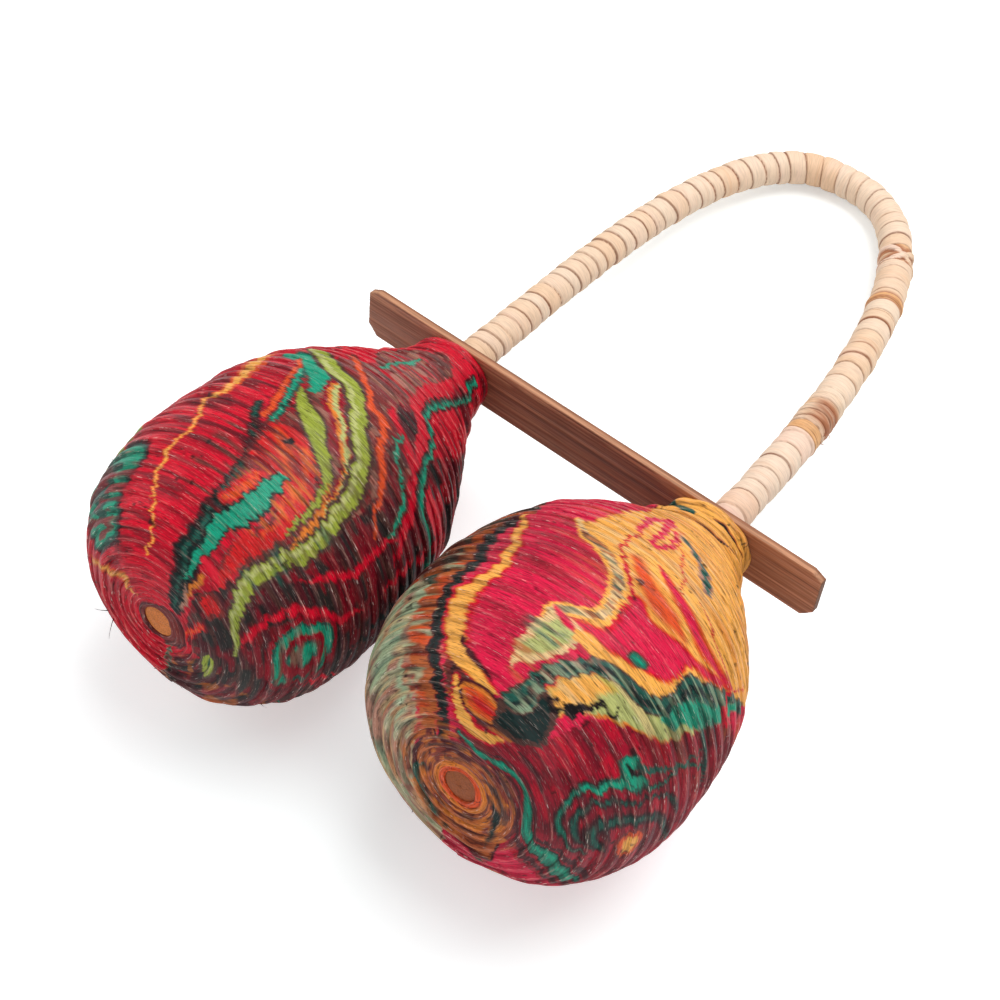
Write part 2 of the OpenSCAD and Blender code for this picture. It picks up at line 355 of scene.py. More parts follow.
def leaf_look(name, gloss):
    """Dyed palm leaf under a thin varnish: fibres along the strip, painted shade in the valleys, rubbed
    crests with a painted highlight, and painted glints.
    """
    look = Look(name)
    fibre = look.field("fibre", "Vector")
    paint = look.field("paint", "Color")
    valley = look.field("valley", "Fac")
    crest = look.field("crest", "Fac")
    fine = look.grain(fibre, 1.0, 3.0, 0.7)
    broad = look.grain(fibre, 0.2, 4.0, 0.6)
    streak = look.grain(fibre, 1.7, 2.0, 0.5)
    glint = look.grain(fibre, 2.6, 1.0, 0.4)
    shade = look.remap(fine, 0.35, 0.65, 0.62, 1.26)
    colour = look.shaded(paint, shade)
    stain = look.remap(broad, 0.56, 0.7, 0.0, 0.34)
    colour = look.blend(stain, colour, srgb(64, 26, 32))
    thread = look.remap(streak, 0.6, 0.66, 0.0, 0.6)
    colour = look.blend(thread, colour, srgb(44, 16, 22))
    pale = look.remap(streak, 0.34, 0.28, 0.0, 0.14)
    colour = look.blend(pale, colour, srgb(240, 170, 140))
    # rubbed wear and a painted highlight along the ridge crests
    rubbed_and_highlight = look.maths("MULTIPLY", crest, look.remap(fine, 0.5, 0.64, 0.02, 0.38))
    colour = look.blend(rubbed_and_highlight, colour, srgb(232, 184, 168))
    # painted shade in the valleys between turns, patchy
    valley_shade = look.maths("MULTIPLY", valley, look.remap(broad, 0.34, 0.58, 0.3, 0.92))
    colour = look.blend(valley_shade, colour, srgb(26, 12, 15))
    # painted glints: white flecks, strongest on the ridge crests
    painted_glint = look.remap(glint, 0.67, 0.72, 0.0, 0.65)
    lit = look.maths("MULTIPLY", painted_glint, look.maths("ADD", crest, 0.16))
    colour = look.blend(lit, colour, srgb(255, 236, 226))
    look.put("Base Color", colour)
    look.put("Roughness", look.remap(broad, 0.3, 0.7, 0.38, 0.6))
    look.put("Specular IOR Level", 0.08)
    look.put("Coat Weight", gloss)
    look.put("Coat Roughness", look.remap(streak, 0.3, 0.7, 0.09, 0.26))
    height = look.maths("ADD", look.maths("MULTIPLY", fine, 0.6), look.maths("MULTIPLY", streak, 0.8))
    look.bump(height, 0.2, 0.9)
    return look.material


def cane_look(name, bump_mm, spread, stain):
    """Bare or split cane: pores and long fibres over a base painted per point, with painted shade in the
    gaps between turns.
    """
    look = Look(name)
    fibre = look.field("fibre", "Vector")
    paint = look.field("paint", "Color")
    valley = look.field("valley", "Fac")
    fine = look.grain(fibre, 1.0, 3.0, 0.6)
    broad = look.grain(fibre, 0.15, 3.0, 0.6)
    shade = look.remap(fine, 0.34, 0.66, 1.0 - spread, 1.0 + spread * 0.4)
    colour = look.shaded(paint, shade)
    colour = look.blend(look.remap(broad, 0.52, 0.75, 0.0, 0.3), colour, stain)
    colour = look.blend(look.remap(fine, 0.66, 0.76, 0.0, 0.35), colour, stain)
    # painted shade in the gaps between turns of peel
    colour = look.blend(look.maths("MULTIPLY", valley, 0.95), colour, srgb(122, 64, 32))
    look.put("Base Color", colour)
    look.put("Roughness", look.remap(broad, 0.3, 0.7, 0.5, 0.72))
    look.put("Specular IOR Level", 0.3)
    look.bump(fine, bump_mm, 0.7)
    return look.material


def seed_look():
    look = Look("seed")
    fibre = look.field("fibre", "Vector")
    speck = look.grain(fibre, 1.6, 4.0, 0.6)
    colour = look.blend(look.remap(speck, 0.4, 0.62, 0.0, 1.0), srgb(74, 40, 24), srgb(132, 82, 48))
    look.put("Base Color", colour)
    look.put("Roughness", look.remap(speck, 0.3, 0.7, 0.28, 0.5))
    look.put("Coat Weight", 0.3)
    look.bump(speck, 0.12, 0.6)
    return look.material


LEAF = {"left": leaf_look("marbled_leaf_left", 0.15), "right": leaf_look("marbled_leaf_right", 0.15)}
PEEL = cane_look("rattan_peel", 0.12, 0.16, srgb(212, 160, 120))
DARK_PEEL = cane_look("dark_peel", 0.14, 0.26, srgb(150, 92, 56))
CANE = cane_look("cane", 0.12, 0.35, srgb(140, 84, 44))
SLAT = cane_look("slat", 0.2, 0.3, srgb(104, 62, 46))
SEED = seed_look()

# ---- dyes ----
CRIMSON = srgb(206, 12, 42)
PINK = srgb(214, 26, 68)
DEEP_RED = srgb(142, 10, 32)
MAROON = srgb(76, 20, 29)
UMBER = srgb(80, 52, 46)
BLACK = srgb(17, 12, 14)
TEAL = srgb(20, 150, 118)
SEA = srgb(30, 84, 72)
DIM_TEAL = srgb(22, 116, 94)
NIGHT = srgb(14, 38, 36)
LIME = srgb(150, 162, 58)
PALE_GREEN = srgb(180, 184, 112)
GOLD = srgb(244, 172, 78)
AMBER = srgb(214, 120, 44)
ORANGE = srgb(218, 78, 34)
SCARLET = srgb(204, 28, 32)
SAGE = srgb(170, 188, 150)
CLAY = srgb(172, 122, 102)
CREAM = srgb(230, 192, 136)
RUST = srgb(180, 92, 46)
BRICK = srgb(120, 44, 42)
LEAF_BACK = srgb(170, 130, 80)


PROFILE_STEPS = 900


class Shell:
    """One wound shell: its profile from the plug to the crossbar, and the winding on it."""

    def __init__(self, side, seed):
        shape = SHELLS[side]
        self.side = side
        self.seed = seed
        self.length = shape["length"]
        self.belly = shape["belly"]
        self.axes = shape["axes"]
        self.home = np.array([shape["x"], 0.0, HOLE_HEIGHT]) - CENTRE
        a = np.linspace(low_a(CANE_R + GAP, self.belly), 90, PROFILE_STEPS)
        u = np.linspace(0, 1, PROFILE_STEPS)[1:]
        self.r = np.concatenate([low_r(a, self.belly), neck_r(u, self.belly)])
        self.s = np.concatenate([low_s(a, self.length), up_s(u, self.length)])
        step = np.hypot(np.diff(self.r), np.diff(self.s))
        self.w = np.concatenate([[0.0], np.cumsum(step)])
        self.full = self.w[-1]
        tr = np.gradient(self.r, self.w)
        ts = np.gradient(self.s, self.w)
        size = np.hypot(tr, ts)
        self.nr = -ts / size
        self.ns = tr / size
        self.w_ring = float(np.interp(TIP_RING_R, self.r[:PROFILE_STEPS], self.w[:PROFILE_STEPS]))
        self.w_belly = float(self.w[PROFILE_STEPS - 1])
        self.w_neck = float(np.interp(NECK_START, u, self.w[PROFILE_STEPS:]))
        pitch = mix(1.7, 3.5, smooth(3, 16, self.w))
        pitch = mix(pitch, 5.2, smooth(self.w_neck - 18, self.w_neck + 4, self.w))
        self.turns = np.concatenate([[0.0], np.cumsum(step / pitch[1:])])

    def profile(self, w):
        return [np.interp(w, self.w, part) for part in (self.r, self.s, self.nr, self.ns)]

    def place(self, r, s, phi):
        ex, ey, ez = self.axes
        across = (r * sind(phi))[..., None] * ex
        return self.home + s[..., None] * ez + across + (r * cosd(phi))[..., None] * ey

    def winding(self, phi, w):
        """Turn number and place across the strip (0 at its free edge) at points of the surface."""
        lap = phi / 360 + 0.5
        wobble = 0.42 * noise(lap, w / 7, 7, self.seed) + 0.16 * noise(lap, w / 3.1, 23, self.seed + 1)
        q = np.interp(w + wobble, self.w, self.turns) - lap
        k = np.floor(q)
        return k, q - k

    def relief(self, phi, w):
        """Height of the coil ridges, with the painted shade in each valley and how near a free edge each
        point is, where the crest gets wear and a painted highlight.
        """
        lap = phi / 360 + 0.5
        k, p = self.winding(phi, w)
        top = 0.22
        rise = np.sqrt(np.clip(1 - (1 - np.clip(p / top, 0, 1)) ** 2, 0, 1))
        fall = 1 - np.clip((p - top) / (1 - top), 0, 1) ** 1.6
        turn = np.abs(lattice(k.astype(np.int64), 5, self.seed))
        flank = smooth(12, 62, np.abs(phi - 14))
        neck = smooth(self.w_neck - 8, self.w_neck + 6, w)
        tall = mix(0.3, 0.5, smooth(2, 16, w)) * mix(0.5, 1.85, flank) + 0.3 * neck
        tall = tall * (0.7 + 0.6 * turn) * (1 + 0.4 * noise(lap, k * 0.37, 19, self.seed + 3))
        height = tall * rise * fall
        height = height + 0.16 * noise(lap, w / 16, 5, self.seed + 4)
        height = height + 0.035 * noise(lap, w / 0.85, 60, self.seed + 5)
        height = height + 0.03 * noise(lap, w / 0.4, 90, self.seed + 6)
        # valley: how much painted shade the gap between turns gets, more on the flanks where the ridges
        # cast shadows
        strength = mix(0.45, 1.5, flank) * (0.6 + 0.45 * noise(lap, k * 0.61, 13, self.seed + 7))
        valley = np.clip(1 - p / 0.07, 0, 1) + np.clip((p - 0.95) / 0.05, 0, 1)
        valley = valley * np.clip(strength + 0.5 * neck, 0, 1)
        # crest: where rubbed wear and a painted highlight go, stronger on the flanks
        crest = np.clip(1 - np.abs(p - 0.16) / 0.1, 0, 1) * mix(0.5, 1.0, flank)
        return height, valley, crest


POINTS_AT_ONCE = 40000


class Canvas:
    """The marbled dyes of one shell, laid on its points one drop or comb stroke after another."""

    def __init__(self, shell, phi, w, ground):
        self.shell = shell
        lap = phi / 360 + 0.5
        seed = shell.seed + 20
        r = shell.profile(w)[0]
        k = shell.winding(phi, w)[0]
        bleed = 0.75 * noise(lap, w / 0.5, 37, seed) + 0.5 * noise(lap, w / 1.15, 31, seed + 7)
        bleed = bleed + 0.55 * noise(lap, k + 0.5, 29, seed + 1)
        drift = 0.7 * noise(lap, w / 13, 13, seed + 2) + 0.6 * noise(lap, w / 5, 31, seed + 3)
        shift = 0.6 * noise(lap, w / 12, 15, seed + 4) + 0.45 * noise(lap, w / 4.4, 37, seed + 5)
        calm = smooth(2, 14, w)
        self.phi = phi + np.degrees((bleed + drift * calm) / np.maximum(r, 3))
        self.w = np.clip(w + shift * 0.8 * calm, 0, shell.full)
        self.spots = self.point(self.phi, self.w)
        self.square = (self.spots ** 2).sum(1)
        self.rgb = np.tile(ground, (len(phi), 1))
        self.lap = lap
        self.true_w = w

    def point(self, phi, w):
        r, s = self.shell.profile(w)[:2]
        return np.stack([r * sind(phi), r * cosd(phi), s], 1)

    def curve(self, stops, closed=False):
        """A smooth line through (angle, share of the profile) stops."""
        stops = np.asarray(stops, float)
        n = len(stops)
        if closed:
            knots = np.concatenate([stops[-1:], stops, stops[:2]])
            spans = n
        else:
            knots = np.concatenate([2 * stops[:1] - stops[1:2], stops, 2 * stops[-1:] - stops[-2:-1]])
            spans = n - 1
        t = np.linspace(0, 1, 9)[:-1][:, None]
        parts = []
        for i in range(spans):
            a, b, c, d = knots[i:i + 4]
            parts.append(0.5 * (2 * b + (c - a) * t + (2 * a - 5 * b + 4 * c - d) * t ** 2
                                + (3 * b - a - 3 * c + d) * t ** 3))
        if not closed:
            parts.append(stops[-1:])
        line = np.concatenate(parts)
        line[:, 1] = np.clip(line[:, 1], 0.0, 1.0) * self.shell.full
        return line

    def nearest(self, line):
        """Distance from each point to the nearest of a line's knots, that knot's number, and the knots."""
        knots = self.point(line[:, 0], line[:, 1])
        best = np.zeros(len(self.spots))
        index = np.zeros(len(self.spots), int)
        knot_square = (knots ** 2).sum(1)
        for lo in range(0, len(self.spots), POINTS_AT_ONCE):
            part = slice(lo, lo + POINTS_AT_ONCE)
            gap = self.square[part, None] + knot_square - 2 * self.spots[part] @ knots.T
            index[part] = gap.argmin(1)
            best[part] = gap.min(1)
        return np.sqrt(np.maximum(best, 0)), index, knots

    def lay(self, amount, dye):
        self.rgb += (dye - self.rgb) * np.clip(amount, 0, 1)[:, None]

    def ribbon(self, stops, halves, *stripes, soft=0.3):
        """A comb stroke, with its half widths along it in millimetres.

        Stripes across it are (from, to, dye) in half widths, or a dye alone for the whole width.
        """
        line = self.curve(stops)
        gap, index, knots = self.nearest(line)
        ahead = np.gradient(knots, axis=0)
        r = np.maximum(np.hypot(knots[:, 0], knots[:, 1]), 1e-6)
        out = np.stack([knots[:, 0] / r, knots[:, 1] / r, np.zeros(len(r))], 1)
        lean = np.interp(line[:, 1], self.shell.w, self.shell.ns)
        out = out * np.sqrt(1 - np.clip(lean, -1, 1) ** 2)[:, None]
        out[:, 2] = lean
        across = np.cross(ahead, out)
        across /= np.maximum(np.linalg.norm(across, axis=1), 1e-9)[:, None]
        offset = self.spots - knots[index]
        side = np.sign((offset * across[index]).sum(1))
        half = np.interp(index / (len(line) - 1), np.linspace(0, 1, len(halves)), halves)
        signed = side * gap
        for stripe in stripes:
            lo, hi, dye = stripe if isinstance(stripe, tuple) else (-1, 1, stripe)
            amount = np.minimum((signed - lo * half) / soft, (hi * half - signed) / soft) + 0.5
            self.lay(amount, dye)
        return np.clip((half - gap) / soft + 0.5, 0, 1)

    def drop(self, stops, *rings, soft=0.3):
        """A dropped pool of dye, outermost ring first.

        Rings are (depth in millimetres inside the outline, dye), or a dye alone from the outline on.
        """
        depth = self.depth(self.curve(stops, closed=True))
        for ring in rings:
            start, dye = ring if isinstance(ring, tuple) else (0.0, ring)
            self.lay((depth - start) / soft + 0.5, dye)
        return np.clip(depth / soft + 0.5, 0, 1)

    def depth(self, line):
        """Distance inside a closed line, negative outside it."""
        gap = self.nearest(line)[0]
        middle = line[:, 0].mean()
        x = line[:, 0] - middle
        px = np.mod(self.phi - middle + 180, 360) - 180
        inside = np.zeros(len(px), bool)
        for a in range(len(line)):
            b = (a + 1) % len(line)
            ya, yb = line[a, 1], line[b, 1]
            if ya == yb:
                continue
            crosses = (ya > self.w) != (yb > self.w)
            inside ^= crosses & (px < (x[b] - x[a]) * (self.w - ya) / (yb - ya) + x[a])
        return np.where(inside, gap, -gap)

    def collar(self, stops, *rings, soft=0.3):
        """Dye from the plug out to an edge of (angle, share of the profile) stops all the way round."""
        angles, shares = zip(*stops)
        edge = np.interp(self.phi, angles, shares, period=360) * self.shell.full
        for start, dye in rings:
            self.lay((edge - self.w - start) / soft + 0.5, dye)

    def mud(self, stops, base, *specks, soft=1.4):
        """A pool of one dye broken up by short streaks of others: specks are (strength, dye)."""
        before = self.rgb.copy()
        self.rgb[:] = base
        for i, (strength, dye) in enumerate(specks):
            self.fibres(strength, dye, 19 + 7 * i, 0.75 + 0.4 * i, 60 + i + len(stops), 0.05)
        inner = self.rgb.copy()
        self.rgb[:] = before
        line = self.curve(stops, closed=True)
        alpha = np.clip(self.depth(line) / soft + 0.5, 0, 1)[:, None]
        self.rgb += (inner - self.rgb) * alpha

    def fibres(self, amount, dye, cells, pitch, seed, floor=0.1, region=None):
        """Thin streaks of another dye drawn out along the strip."""
        streak = noise(self.lap, self.true_w / pitch, cells, self.shell.seed + seed)
        alpha = smooth(floor, floor + 0.35, streak) * amount
        self.lay(alpha if region is None else alpha * region, dye)

    def near(self, phi, t, wide_phi, wide_t):
        """A soft window round a place on the shell."""
        x = (np.mod(self.phi - phi + 180, 360) - 180) / wide_phi
        y = (self.w / self.shell.full - t) / wide_t
        return 1 - smooth(0.75, 1.15, np.sqrt(x * x + y * y))


HIDDEN_SIDE = (140, 278)
HIDDEN_SHARE = (0.12, 0.85)


def wild_marbling(canvas, dyes, seed, count):
    """Pools and comb strokes for the sides that nothing else covers."""
    rng = np.random.default_rng(seed)
    for i in range(count):
        phi = rng.uniform(*HIDDEN_SIDE)
        t = rng.uniform(*HIDDEN_SHARE)
        dye, edge, heart = (dyes[j] for j in rng.permutation(len(dyes))[:3])
        if i % 3 == 0:
            size = rng.uniform(0.03, 0.07)
            turn = rng.uniform(0, 360)
            stops = [(phi + 338 * size * (1 + 0.3 * rng.normal()) * cosd(a + turn),
                      t + size * (1 + 0.3 * rng.normal()) * sind(a)) for a in range(0, 360, 60)]
            canvas.drop(stops, (-1.3, edge), dye, (2.0, edge), (3.2, heart))
        else:
            reach_t = rng.uniform(0.12, 0.3)
            bend = rng.uniform(-34, 34, 5)
            stops = [(phi + bend[j], t + reach_t * (j - 2) / 2) for j in range(5)]
            wide = rng.uniform(0.5, 2.4)
            halves = (0.3, wide, wide * 0.6, 0.3)
            canvas.ribbon(stops, halves, (-1.7, 1.4, edge), dye, (-0.2, 0.25, heart))


def marble_left(canvas):
    """The left shell: crimson, with green bands, teal ribbons and a dark side."""
    ribbon, drop, mud, fibres, near = canvas.ribbon, canvas.drop, canvas.mud, canvas.fibres, canvas.near
    wild_marbling(canvas, [CRIMSON, DEEP_RED, MAROON, TEAL, LIME, ORANGE, NIGHT], 5, 22)
    fibres(0.5, DEEP_RED, 11, 1.3, 30, 0.1)
    fibres(0.75, MAROON, 14, 0.8, 76, 0.12, near(-16, .46, 26, .17))
    fibres(0.6, MAROON, 17, 0.7, 77, 0.2, near(-8, .16, 60, .12))
    # the mud between the green bands, then the dark side round to the right
    mud(((-14, .62), (8, .71), (26, .69), (42, .61), (53, .52), (51, .40), (46, .27), (40, .19),
        (35, .30), (31, .41), (20, .43), (6, .43), (0, .50)), BRICK, (0.75, UMBER), (0.7, DEEP_RED),
        (0.5, CLAY))
    mud(((24, .66), (37, .65), (45, .58), (50, .53), (60, .527), (72, .535), (92, .56), (116, .54),
        (130, .40), (126, .15), (92, .04), (52, .05), (36, .10), (40, .17), (45, .27), (49, .40),
        (46, .48), (36, .55)), MAROON, (0.8, UMBER), (0.75, NIGHT), (0.6, DEEP_RED), soft=0.8)
    # crimson tongues drawn through it
    for stops, half in (
            (((25, .62), (29, .605), (42, .578), (53, .56), (61, .517), (67, .468), (74, .435)),
             (0.4, 1.3, 1.9, 2.2, 2.0, 1.7, 0.5)),
            (((92, .62), (86, .54), (80, .47), (79, .40)), (1.4, 2.2, 1.6, 0.4)),
            (((55, .27), (59, .315), (63, .365), (64, .413), (65, .453)), (0.3, 1.1, 1.3, 1.1, 0.4)),
            (((63, .185), (62, .217), (69, .268), (78, .307), (80, .352)), (0.5, 1.3, 1.7, 1.4, 0.4)),
            (((108, .19), (105, .223), (107, .263), (112, .32)), (0.6, 1.5, 1.4, 0.4)),
            (((72, .14), (66, .165), (60, .20)), (0.4, 1.3, 0.5))):
        ribbon(stops, half, DEEP_RED, (-0.75, 0.75, CRIMSON), soft=0.5)
    ribbon(((74, .50), (84, .47), (92, .40), (97, .33)), (0.5, 1.6, 1.4, 0.5), NIGHT, soft=0.8)
    # the far left: teal pool and the wavering yellow line
    drop(((-32, .28), (-31, .25), (-33, .19), (-31, .155), (-38, .122), (-63, .118), (-68, .16),
        (-72, .225), (-60, .27), (-48, .29)), (-0.9, MAROON), SEA, (1.1, TEAL), (6.0, SEA))
    fibres(0.9, DEEP_RED, 34, 1.1, 33, 0.12, near(-52, .205, 24, .09))
    fibres(0.6, NIGHT, 30, 0.9, 35, 0.2, near(-52, .205, 24, .09))
    ribbon(((-42, .60), (-33, .545), (-28, .508), (-27, .475), (-26, .432), (-29, .405), (-23, .367),
        (-20, .335), (-20, .285), (-18, .263), (-18, .23), (-15, .198), (-11, .168), (-10, .133),
        (-9, .115)), (1.3, 1.5, 1.1, 0.5, 0.5, 0.4, 0.4, 0.3, 0.3, 0.2), (-1.9, 1.9, ORANGE), GOLD)
    ribbon(((-86, .135), (-72, .098), (-60, .07), (-44, .058), (-58, .046), (-52, .028)),
        (0.9, 1.1, 0.9, 0.8, 0.8, 0.5), (-1.5, 1.5, ORANGE), (-0.9, 0.9, AMBER), (-0.3, 0.5, GOLD),
        soft=0.5)
    mud(((112, .05), (150, .04), (182, .10), (190, .17), (172, .23), (146, .25), (122, .20), (112, .12)),
        MAROON, (0.8, NIGHT), (0.7, DEEP_RED), (0.45, AMBER), soft=1.2)
    # dark teal comb lines left of the orange pool
    fibres(0.85, UMBER, 13, 0.8, 36, 0.05, near(2, .33, 13, .1))
    comb = ribbon(((-9, .44), (-4, .415), (-1, .393), (4, .36), (9, .318), (10, .27), (12, .233),
        (14, .205), (14, .163), (19, .125), (22, .077), (33, .048)), (0.9, 1.1, 1.2, 1.1, 1.2, 1.8, 2.4,
        2.8, 3.2, 3.2, 2.8, 1.6), (-1.2, 1.15, MAROON), (-0.85, 0.9, NIGHT), (-0.5, 0.45, SEA),
        (-0.45, 0.0, NIGHT), soft=0.5)
    fibres(0.9, DEEP_RED, 24, 0.8, 39, 0.1, comb * near(8, .33, 24, .12))
    fibres(0.7, BLACK, 21, 0.8, 67, 0.1, comb)
    ribbon(((-14, .57), (-6, .51), (-2, .473), (1, .445), (3, .417)), (1.9, 1.5, 1.2, 1.3, 1.0),
        (-1.2, 1.2, UMBER), SEA, (-0.4, 0.5, TEAL))
    ribbon(((-26, .60), (-22, .598), (-14, .59), (-5, .565), (0, .54), (1, .515)),
        (2.2, 2.4, 2.6, 2.6, 2.0, 0.8), (-1.2, 1.2, SEA), TEAL)
    ribbon(((-20, .59), (-16, .57), (-11, .52), (-7, .482), (-3, .445), (-1, .42)),
        (0.4, 0.7, 0.7, 0.9, 0.7), (-1.6, 1.6, DEEP_RED), ORANGE)
    # scarlet and orange pool
    drop(((5, .375), (3, .41), (13, .432), (22, .418), (28, .385), (34, .338), (36, .29), (36.5, .242),
        (36, .198), (34, .175), (29, .205), (29, .245), (29, .288), (24, .325), (18, .333), (9, .333)),
        (-1.0, BRICK), SCARLET)
    ribbon(((7, .405), (12, .395), (17, .38), (21, .35)), (1.0, 1.7, 1.7, 0.6), ORANGE, soft=1.2)
    ribbon(((20, .41), (24, .385), (28, .34), (30, .30), (31, .25)), (1.2, 0.8, 0.6, 0.4), ORANGE,
        soft=0.6)
    fibres(0.8, MAROON, 26, 0.7, 34, 0.0, near(9, .385, 14, .06))
    fibres(0.7, BRICK, 23, 0.6, 72, 0.05, near(20, .34, 14, .09))
    fibres(0.6, AMBER, 19, 0.6, 73, 0.3, near(22, .33, 12, .1))
    ribbon(((12, .26), (14, .278), (15, .297), (15, .322)), (1.6, 2.2, 2.2, 1.4), SCARLET,
        (-0.45, 0.4, ORANGE), soft=0.5)
    drop(((12.4, .411), (14.6, .409), (14.6, .396), (12.2, .397)), BLACK)
    # bright teal stripe
    ribbon(((21, .345), (21, .323), (21, .295), (21, .275), (20, .253), (18, .233), (18, .21), (20, .188),
        (20, .16), (21, .12)), (1.0, 1.9, 1.9, 2.2, 2.2, 2.0, 1.8, 1.4, 1.0, 0.5), (-1.4, 1.3, NIGHT),
        TEAL)
    ribbon(((26, .24), (30, .225), (34, .19), (38, .16)), (0.7, 1.9, 1.9, 0.7), SCARLET, soft=0.5)
    drop(((39, .13), (45, .135), (52, .128), (50, .108), (42, .11)), (-1.0, BRICK), SCARLET)
    ribbon(((28, .145), (30, .12), (31, .09)), (0.6, 0.8, 0.4), AMBER, soft=0.6)
    ribbon(((24, .11), (31, .085), (36, .06)), (0.3, 0.8, 0.4), CLAY, soft=0.6)
    # the green bands
    ribbon(((-3, .508), (6, .478), (13, .463), (19, .443), (25, .425), (31, .405), (34, .365), (36, .323),
        (36, .285)), (0.3, 1.7, 2.3, 1.9, 1.5, 1.2, 0.9, 0.6, 0.3), (-1.4, 1.4, UMBER), LIME)
    ribbon(((6, .56), (9, .53), (17, .503), (23, .485), (29, .463), (34, .44), (38, .405), (39, .36)),
        (1.2, 1.6, 1.2, 1.0, 1.0, 1.0, 0.8, 0.5), (-1.9, 1.9, DEEP_RED), AMBER, (-0.9, 0.2, PALE_GREEN))
    ribbon(((-26, .645), (-20, .635), (-3, .598), (9, .585), (18, .555), (25, .517), (33, .49),
        (38, .455), (42, .427), (44, .378), (45, .338), (46, .30), (44, .265), (44, .238), (44, .205),
        (48, .177), (55, .152), (64, .138), (79, .125)), (1.2, 1.6, 2.0, 2.0, 2.1, 1.9, 1.9, 2.0, 2.0,
        1.9, 1.9, 2.1, 2.1, 1.9, 1.6, 1.2, 0.8, 0.5), (-1.55, 1.6, UMBER), LIME, (0.15, 0.75, PALE_GREEN))
    fibres(0.7, SEA, 30, 0.8, 37, 0.25, near(45, .25, 9, .12))
    fibres(0.5, UMBER, 36, 0.6, 74, 0.2, near(40, .40, 14, .2))
    ribbon(((33, .40), (38, .36), (40, .32), (41, .28)), (0.3, 0.8, 0.8, 0.3), AMBER, soft=0.5)
    # fine lines towards the neck
    ribbon(((-10, .675), (4, .64), (16, .60), (22, .575), (29, .573), (35, .525), (42, .50), (49, .465),
        (53, .435), (59, .415)), (0.9, 1.0, 0.7, 1.0, 0.9, 1.0, 0.7, 0.5, 0.4), (-1.9, 1.6, BRICK),
        ORANGE)
    ribbon(((36, .588), (39, .552), (55, .51), (60, .478), (63, .443)), (0.3, 0.6, 0.6, 0.7, 0.3),
        (-2.0, 2.0, UMBER), TEAL)
    drop(((17, .695), (19, .712), (25, .69), (22.5, .672)), (-0.6, UMBER), TEAL)
    # crimson neck
    drop(((-64, 1.05), (-62, .74), (-28, .68), (2, .715), (23, .672), (36, .657), (44, .60), (49, .585),
        (66, .60), (84, .64), (84, 1.05)), CRIMSON, soft=0.6)
    mud(((52, .60), (62, .58), (74, .58), (92, .60), (112, .66), (100, .76), (84, .78), (72, .72),
        (60, .66)), MAROON, (0.9, NIGHT), (0.8, DEEP_RED), (0.6, CRIMSON), soft=1.6)
    fibres(0.8, MAROON, 9, 1.2, 68, 0.1, near(72, .80, 34, .16))
    mud(((-7, .738), (-26, .86), (6, .935), (31, .89), (26, .787), (27, .71), (28, .652), (14, .672)),
        BRICK, (0.7, CRIMSON), (0.7, UMBER), (0.6, CLAY), soft=1.2)
    ribbon(((57, .94), (63, .89), (44, .797), (38, .718), (38, .685), (43, .677), (50, .655), (53, .603),
        (58, .562), (66, .535), (81, .532), (95, .51)), (0.8, 0.8, 0.9, 0.9, 0.6, 0.7, 0.8, 1.0, 1.3, 1.2,
        1.0, 0.5), (-1.9, 1.9, MAROON), TEAL, (0.3, 1.1, SEA))
    ribbon(((1, .85), (6, .807), (4, .763), (8, .70)), (0.5, 0.9, 0.6, 0.6), (-1.5, 1.5, UMBER), TEAL)
    # teal heart low on the right
    drop(((92, .178), (78, .185), (70, .217), (72, .25), (77, .285), (88, .283), (100, .262), (106, .225),
        (102, .19)), (-1.3, DEEP_RED), SEA, (0.7, TEAL), (2.5, DEEP_RED))
    ribbon(((108, .195), (103, .23), (101, .27)), (1.4, 2.6, 1.6), MAROON, (-0.4, 0.4, DEEP_RED),
        soft=1.2)
    drop(((86, .20), (79, .215), (78, .24), (83, .262), (90, .25), (93, .222)), SEA, (0.9, TEAL),
        soft=0.6)
    ribbon(((92, .268), (98, .25), (101, .225), (97, .20)), (0.4, 1.0, 1.0, 0.4), SEA, soft=0.6)
    fibres(0.7, DEEP_RED, 28, 0.9, 38, 0.1, near(90, .23, 18, .06))
    drop(((92, .07), (88, .085), (106, .09), (122, .085), (112, .07)), (-1.0, UMBER), LIME, (1.2, SEA))
    ribbon(((92, .03), (84, .025), (66, .055), (58, .085)), (0.6, 0.9, 0.8, 0.4), (-1.2, 1.2, SCARLET),
        (-0.5, 0.5, ORANGE))
    canvas.collar(((-180, .008), (-60, .012), (0, .01), (40, .03), (100, .034), (140, .02)),
        (0.0, MAROON), (0.9, BRICK), soft=0.6)


